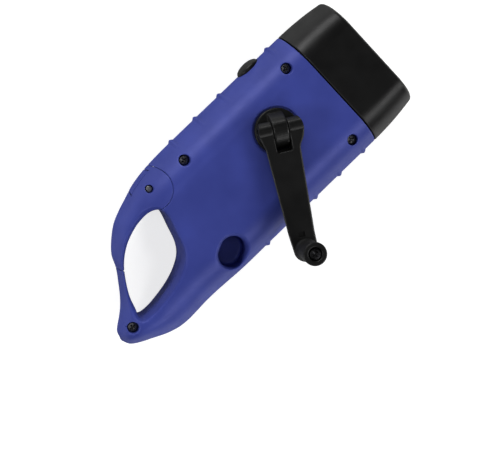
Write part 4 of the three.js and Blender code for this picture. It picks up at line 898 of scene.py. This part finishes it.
def laminate_board(name):
    """Glass-fibre board under green solder mask: glossy, with the 0.6 mm weave just showing through, and
    copper tracks a shade paler."""
    material, tree, shader, where = surface(name, Roughness=0.28, IOR=1.5)
    weave = add(tree, "ShaderNodeTexChecker",
                [("Vector", where), ("Scale", 1 / (0.6 * MM)),
                 ("Color1", colour("1a5230")), ("Color2", colour("1f5c36"))])
    black, white = colour("000000"), colour("ffffff")
    tracks = add(tree, "ShaderNodeTexBrick",
                 [("Vector", where), ("Scale", 1 / (4 * MM)), ("Mortar Size", 0.06),
                  ("Color1", black), ("Color2", black), ("Mortar", white)])
    mixed = add(tree, "ShaderNodeMix",
                [(0, tracks.outputs["Color"]), (6, weave.outputs["Color"]), (7, colour("3a8050"))],
                data_type="RGBA")
    tree.links.new(mixed.outputs[2], shader.inputs["Base Color"])
    return material


def clear_moulding(name, tint, rough, ior):
    """A clear moulding, with faint ripples from the mould."""
    material, tree, shader, where = surface(name, Transmission_Weight=1.0, Roughness=rough, IOR=ior,
                                            Base_Color=colour(tint))
    ripple = add(tree, "ShaderNodeTexNoise", [("Vector", where), ("Scale", 1 / (6 * MM)), ("Detail", 1)])
    relief = add(tree, "ShaderNodeBump",
                 [("Height", ripple.outputs["Fac"]), ("Strength", 0.05), ("Distance", 0.05 * MM)])
    tree.links.new(relief.outputs["Normal"], shader.inputs["Normal"])
    return material


# Blue satin, whose reflections take a little of its own colour, with a paler painted highlight on its edges
# and corners.
blue_abs = moulded_abs("blue ABS, satin moulding", "2e3880", "323c86", "36418f", "4450a0",
                       0.44, 0.25, 0.5, "aab0ff")
# Black satin of low gloss, so that its highlights stay faint, with a grey painted highlight on its edges and
# corners.
black_abs = moulded_abs("black ABS, satin moulding", "080808", "0b0b0b", "0f0f0f", "4e4e4e",
                        0.35, 0.2, 0.18, "ffffff")
# Nickel plating over turned steel: a soft grey shine with faint lines.
plated_steel = metal("nickel-plated steel, turned", "8f9092", "b9babc", 0.3, 0.8, (1, 1, 6))
# Black oxide on the screws keeps them dark in their wells.
black_screw = metal("blackened steel, cold headed", "48484c", "68686c", 0.38, 0.6)
# The knob's screw is lacquered, almost as black as the knob.
dark_screw = metal("black-lacquered steel, cold headed", "161617", "262628", 0.36, 0.6)
# The gate's pin has a dull grey phosphate coat.
grey_pin = metal("phosphated steel, drawn", "6c6e72", "86888c", 0.42, 0.5)
# Cell cans are drawn from nickel-plated strip, with fine lengthwise marks.
cell_can = metal("nickel-plated strip, drawn", "a3a5a8", "c6c8ca", 0.24, 1.2, (0.2, 1, 1))
# The bush is a sintered bronze-yellow brass, slightly porous.
bush_brass = metal("sintered brass", "8c7434", "b59a52", 0.42, 0.4)
# Gears are moulded nylon, milky and slightly waxy.
white_nylon = mottled("natural nylon, moulded", "dedbd0", "eceae2", 3, 0.38, 0.15, Subsurface_Weight=0.15)
# Vacuum-plated aluminium on ABS: a near mirror.
chrome_plate = metal("vacuum-plated reflector", "c9cdd2", "e3e6ea", 0.1, 5)
board_green = laminate_board("glass-fibre board, masked green")
# Sintered ferrite is dark, dry and finely grained.
ferrite = mottled("sintered ferrite", "2b2b2e", "3d3d40", 0.5, 0.6, 0.5)
coil_copper = copper_wire("enamelled copper wire")
lens_clear = clear_moulding("clear acrylic, moulded", "f6fafc", 0.03, 1.49)
led_epoxy = clear_moulding("clear epoxy, cast", "fbfbf2", 0.04, 1.53)

# Pieces that are drawn anew, each within a box and with cells as small as its edges need

SHELL_LOW, SHELL_HIGH = (-27, -91.5), (27, 25.5)
moulded("front_shell", front_shell, (*SHELL_LOW, 15.2), (*SHELL_HIGH, 33.2), 0.5,
        "housing", blue_abs)
moulded("back_shell", back_shell, (*SHELL_LOW, -1), (*SHELL_HIGH, 16.8), 0.5,
        "housing", blue_abs)
moulded("carabiner_gate", carabiner_gate, (-28, -79, -1), (-5, -36, 33), 0.4,
        "gate", blue_abs)
moulded("head_bezel", head_bezel, (-26, 20.6, -1), (26, 45.5, 33), 0.5,
        "housing", black_abs)
moulded("lens", lens, (-24, 40.2, 1), (24, 44.2, 31), 0.5, "housing", lens_clear)
moulded("reflector", reflector, (-22, 27.9, 3), (22, 41.9, 29), 0.4,
        "housing", chrome_plate)
moulded("crank_hub", crank_hub, (-13.5, -9.5, 23.5), (5.5, 9.5, 40.6), 0.3,
        "crank", black_abs)
moulded("crank_arm", crank_arm, (-13, -28, 33), (38, 10, 40.2), 0.35,
        "crank_arm", black_abs)
for i, place in enumerate(SCREWS):
    moulded(f"shell_screw_{i + 1}", shell_screw, (-2.2, -2.2, -15.6), (2.2, 2.2, 2.8), 0.16,
            "housing", black_screw, (*place, skin_height(place) - SCREW_SINK + GAP))

KNOB_AT = away(CRANK, ARM_END, REST)
KNOB_R, NECK_R, KNOB_BORE_R, SINK_R = 4.1, 3.5, 1.6, 2.4
low = ARM_TOP + GAP
turned("crank_knob", softened([
    (KNOB_BORE_R, low), (KNOB_R, low), (KNOB_R, low + 1.2), (NECK_R, low + 1.95),
    (NECK_R, KNOB_TOP - 2.75), (KNOB_R, KNOB_TOP - 2), (KNOB_R, KNOB_TOP), (SINK_R, KNOB_TOP),
    (SINK_R, KNOB_TOP - KNOB_SINK), (KNOB_BORE_R, KNOB_TOP - KNOB_SINK),
], 0.45), UPRIGHT, (*KNOB_AT, 0), "knob", black_abs)
moulded("knob_screw", knob_screw, (-2.5, -2.5, KNOB_SCREW_TIP - KNOB_SCREW_SEAT - 0.5), (2.5, 2.5, 1.6), 0.16,
        "crank_arm", dark_screw, (*KNOB_AT, KNOB_SCREW_SEAT))


def rod(r, start, end, edge):
    """The profile of a plain pin with softened ends."""
    return softened([(0, start), (r, start), (r, end), (0, end)], edge)


ACROSS = np.column_stack([
    (math.cos(REST), math.sin(REST), 0), (0, 0, -1), (-math.sin(REST), math.cos(REST), 0),
])
pin_half = math.sqrt(HUB_R**2 - BARREL_R**2) - GAP
turned("hinge_pin", rod(1, 0.3 - pin_half, 0.3 + pin_half, 0.15), ACROSS,
       (*away(CRANK, PIN_U, REST), PIN_Z), "crank", black_screw)

BUTTON_R, BUTTON_DOME, FLANGE_R, STEM_R = 4.5, 1.9, 5.4, 2
inside = -HALF_WIDTH + WALL + 0.4
dome = [(BUTTON_R * math.cos(t), -HALF_WIDTH - BUTTON_DOME * math.sin(t))
        for t in np.linspace(math.pi / 2, 0.02, 14)]
turned("switch_button", [(0, dome[0][1])] + dome[1:] + softened([
    (BUTTON_R, -HALF_WIDTH + 0.3), (BUTTON_R, inside), (FLANGE_R, inside), (FLANGE_R, inside + 1),
    (STEM_R, inside + 1), (STEM_R, inside + 1.3), (0, inside + 1.3),
], 0.2), TO_X, (0, BUTTON_Y, MIDDLE), "switch", black_abs)

turned("gate_pin", rod(1.1, skin_height(PIVOT, -1) + 1.5, skin_height(PIVOT) - 1.5, 0.25), UPRIGHT,
       (*PIVOT, 0), "housing", grey_pin)

LED_R, LED_BASE_R, LED_BASE, LED_DOME = 2.5, 2.9, 1, 35
bulb = [(LED_R * math.cos(t), LED_DOME + LED_R * math.sin(t)) for t in np.linspace(0, math.pi / 2, 12)]
foot = softened([
    (0, TRAY_BACK), (LED_BASE_R, TRAY_BACK), (LED_BASE_R, TRAY_BACK + LED_BASE),
    (LED_R, TRAY_BACK + LED_BASE), (LED_R, LED_DOME - 0.2),
], 0.1)
for name, at in zip(("led_left", "led_middle", "led_right"), LED_X):
    turned(name, foot + bulb[:-1] + [(0, LED_DOME + LED_R)], TO_Y, (at, 0, MIDDLE),
           "housing", led_epoxy)

# The solids that stay get the finish of what they are made of

FINISHES = {
    "steel_pins": plated_steel, "cell_cans": cell_can, "bearing_brass": bush_brass,
    "gear_nylon": white_nylon, "board_green": board_green, "magnet_ferrite": ferrite,
    "coil_copper": coil_copper, "black_plastic": black_abs, "led_epoxy": led_epoxy,
    "reflector_chrome": chrome_plate, "lens_clear": lens_clear, "blue_housing": blue_abs,
}
for part in frame["record"]["subparts"]:
    solid = frame["nodes"][part["node"]]
    solid.data.materials.clear()
    solid.data.materials.append(FINISHES[part["material_slot"]])

# Floor: matt paper, which glows only to the camera and in reflections

FLOOR_LIFT = 0.74
FLOOR_REACH = 4.0
FLOOR_DROP = 0.0003
paper, tree, shader, where = surface("matt paper sweep", Roughness=0.9, Specular_IOR_Level=0.1)
fibre = add(tree, "ShaderNodeTexNoise", [("Vector", where), ("Scale", 1 / (1.5 * MM)), ("Detail", 3)])
pale = add(tree, "ShaderNodeValToRGB", [("Fac", fibre.outputs["Fac"])],
           stops=[(0.3, "b4b4b2"), (0.7, "bababa")])
tree.links.new(pale.outputs["Color"], shader.inputs["Base Color"])
rays = add(tree, "ShaderNodeLightPath").outputs
seen = rays["Is Camera Ray"]
for ray in ("Is Glossy Ray", "Is Transmission Ray"):
    seen = add(tree, "ShaderNodeMath", [(0, seen), (1, rays[ray])], operation="MAXIMUM").outputs[0]
lift = add(tree, "ShaderNodeMath", [(0, seen), (1, FLOOR_LIFT)], operation="MULTIPLY")
glow = add(tree, "ShaderNodeEmission", [("Color", colour("ffffff")), ("Strength", lift.outputs[0])])
both = add(tree, "ShaderNodeAddShader", [(0, shader.outputs[0]), (1, glow.outputs[0])])
tree.links.new(both.outputs[0], tree.nodes["Material Output"].inputs["Surface"])
floor_mesh = bpy.data.meshes.new("floor")
edges = ((-1, -1), (1, -1), (1, 1), (-1, 1))
floor_mesh.from_pydata([(FLOOR_REACH * x, FLOOR_REACH * y, 0) for x, y in edges], [], [(0, 1, 2, 3)])
floor_mesh.materials.append(paper)
floor = bpy.data.objects.new("floor", floor_mesh)
floor.location.z = -FLOOR_DROP
bpy.context.scene.collection.objects.link(floor)

# Light, with its sizes in metres

world = bpy.data.worlds.new("studio")
bpy.context.scene.world = world
world.use_nodes = True
background = world.node_tree.nodes["Background"]
background.inputs["Color"].default_value = colour("f2f4f6")
background.inputs["Strength"].default_value = 0.12
AIM = Vector((0, -0.02, 0.016))
LAMP_REACH = 1.1


def softbox(name, azimuth, elevation, width, height, watts):
    """A soft lamp that faces the torch from a compass direction, in degrees from its right side."""
    lamp = bpy.data.lights.new(name, "AREA")
    lamp.shape = "RECTANGLE"
    lamp.size, lamp.size_y = width, height
    lamp.energy = watts
    piece = bpy.data.objects.new(name, lamp)
    round_it, up = math.radians(azimuth), math.radians(elevation)
    toward = Vector((math.cos(round_it) * math.cos(up), math.sin(round_it) * math.cos(up), math.sin(up)))
    piece.location = AIM + toward * LAMP_REACH
    piece.rotation_mode = "QUATERNION"
    piece.rotation_quaternion = (-toward).to_track_quat("-Z", "Y")
    piece.visible_camera = False
    bpy.context.scene.collection.objects.link(piece)


softbox("left softbox", 163, 23, 0.9, 0.3, 8.8)
softbox("right softbox", 18, 42, 0.9, 0.3, 6.0)
softbox("hinge softbox", -20, 33, 0.3, 0.2, 1.4)
softbox("low softbox", -114, 31, 0.4, 0.2, 3.4)
softbox("high softbox", 54, 18, 0.4, 0.2, 2.0)
softbox("fill softbox", 200, 79, 0.25, 0.25, 1.0)

# Camera, at the photograph's place: its focal length in the photograph's pixels, its eye and its three axes

SENSOR = 36
PHOTO_WIDTH = 500
FOCAL = 2046.5
EYE = (-110.007, -76.992, 730.278)
RIGHT = (0.67724, 0.71625, 0.16832)
DOWN = (0.71411, -0.69497, 0.08405)
FORWARD = (0.17718, 0.06327, -0.98214)

camera = bpy.data.cameras.new("camera")
camera.sensor_width = SENSOR
camera.lens = SENSOR * FOCAL / PHOTO_WIDTH
holder = bpy.data.objects.new("camera", camera)
bpy.context.scene.collection.objects.link(holder)
bpy.context.scene.camera = holder
axes = Matrix((RIGHT, [-v for v in DOWN], [-v for v in FORWARD])).transposed()
holder.matrix_world = Matrix.Translation(Vector(EYE) * MM) @ axes.to_4x4()

bpy.context.scene.view_settings.view_transform = "Standard"
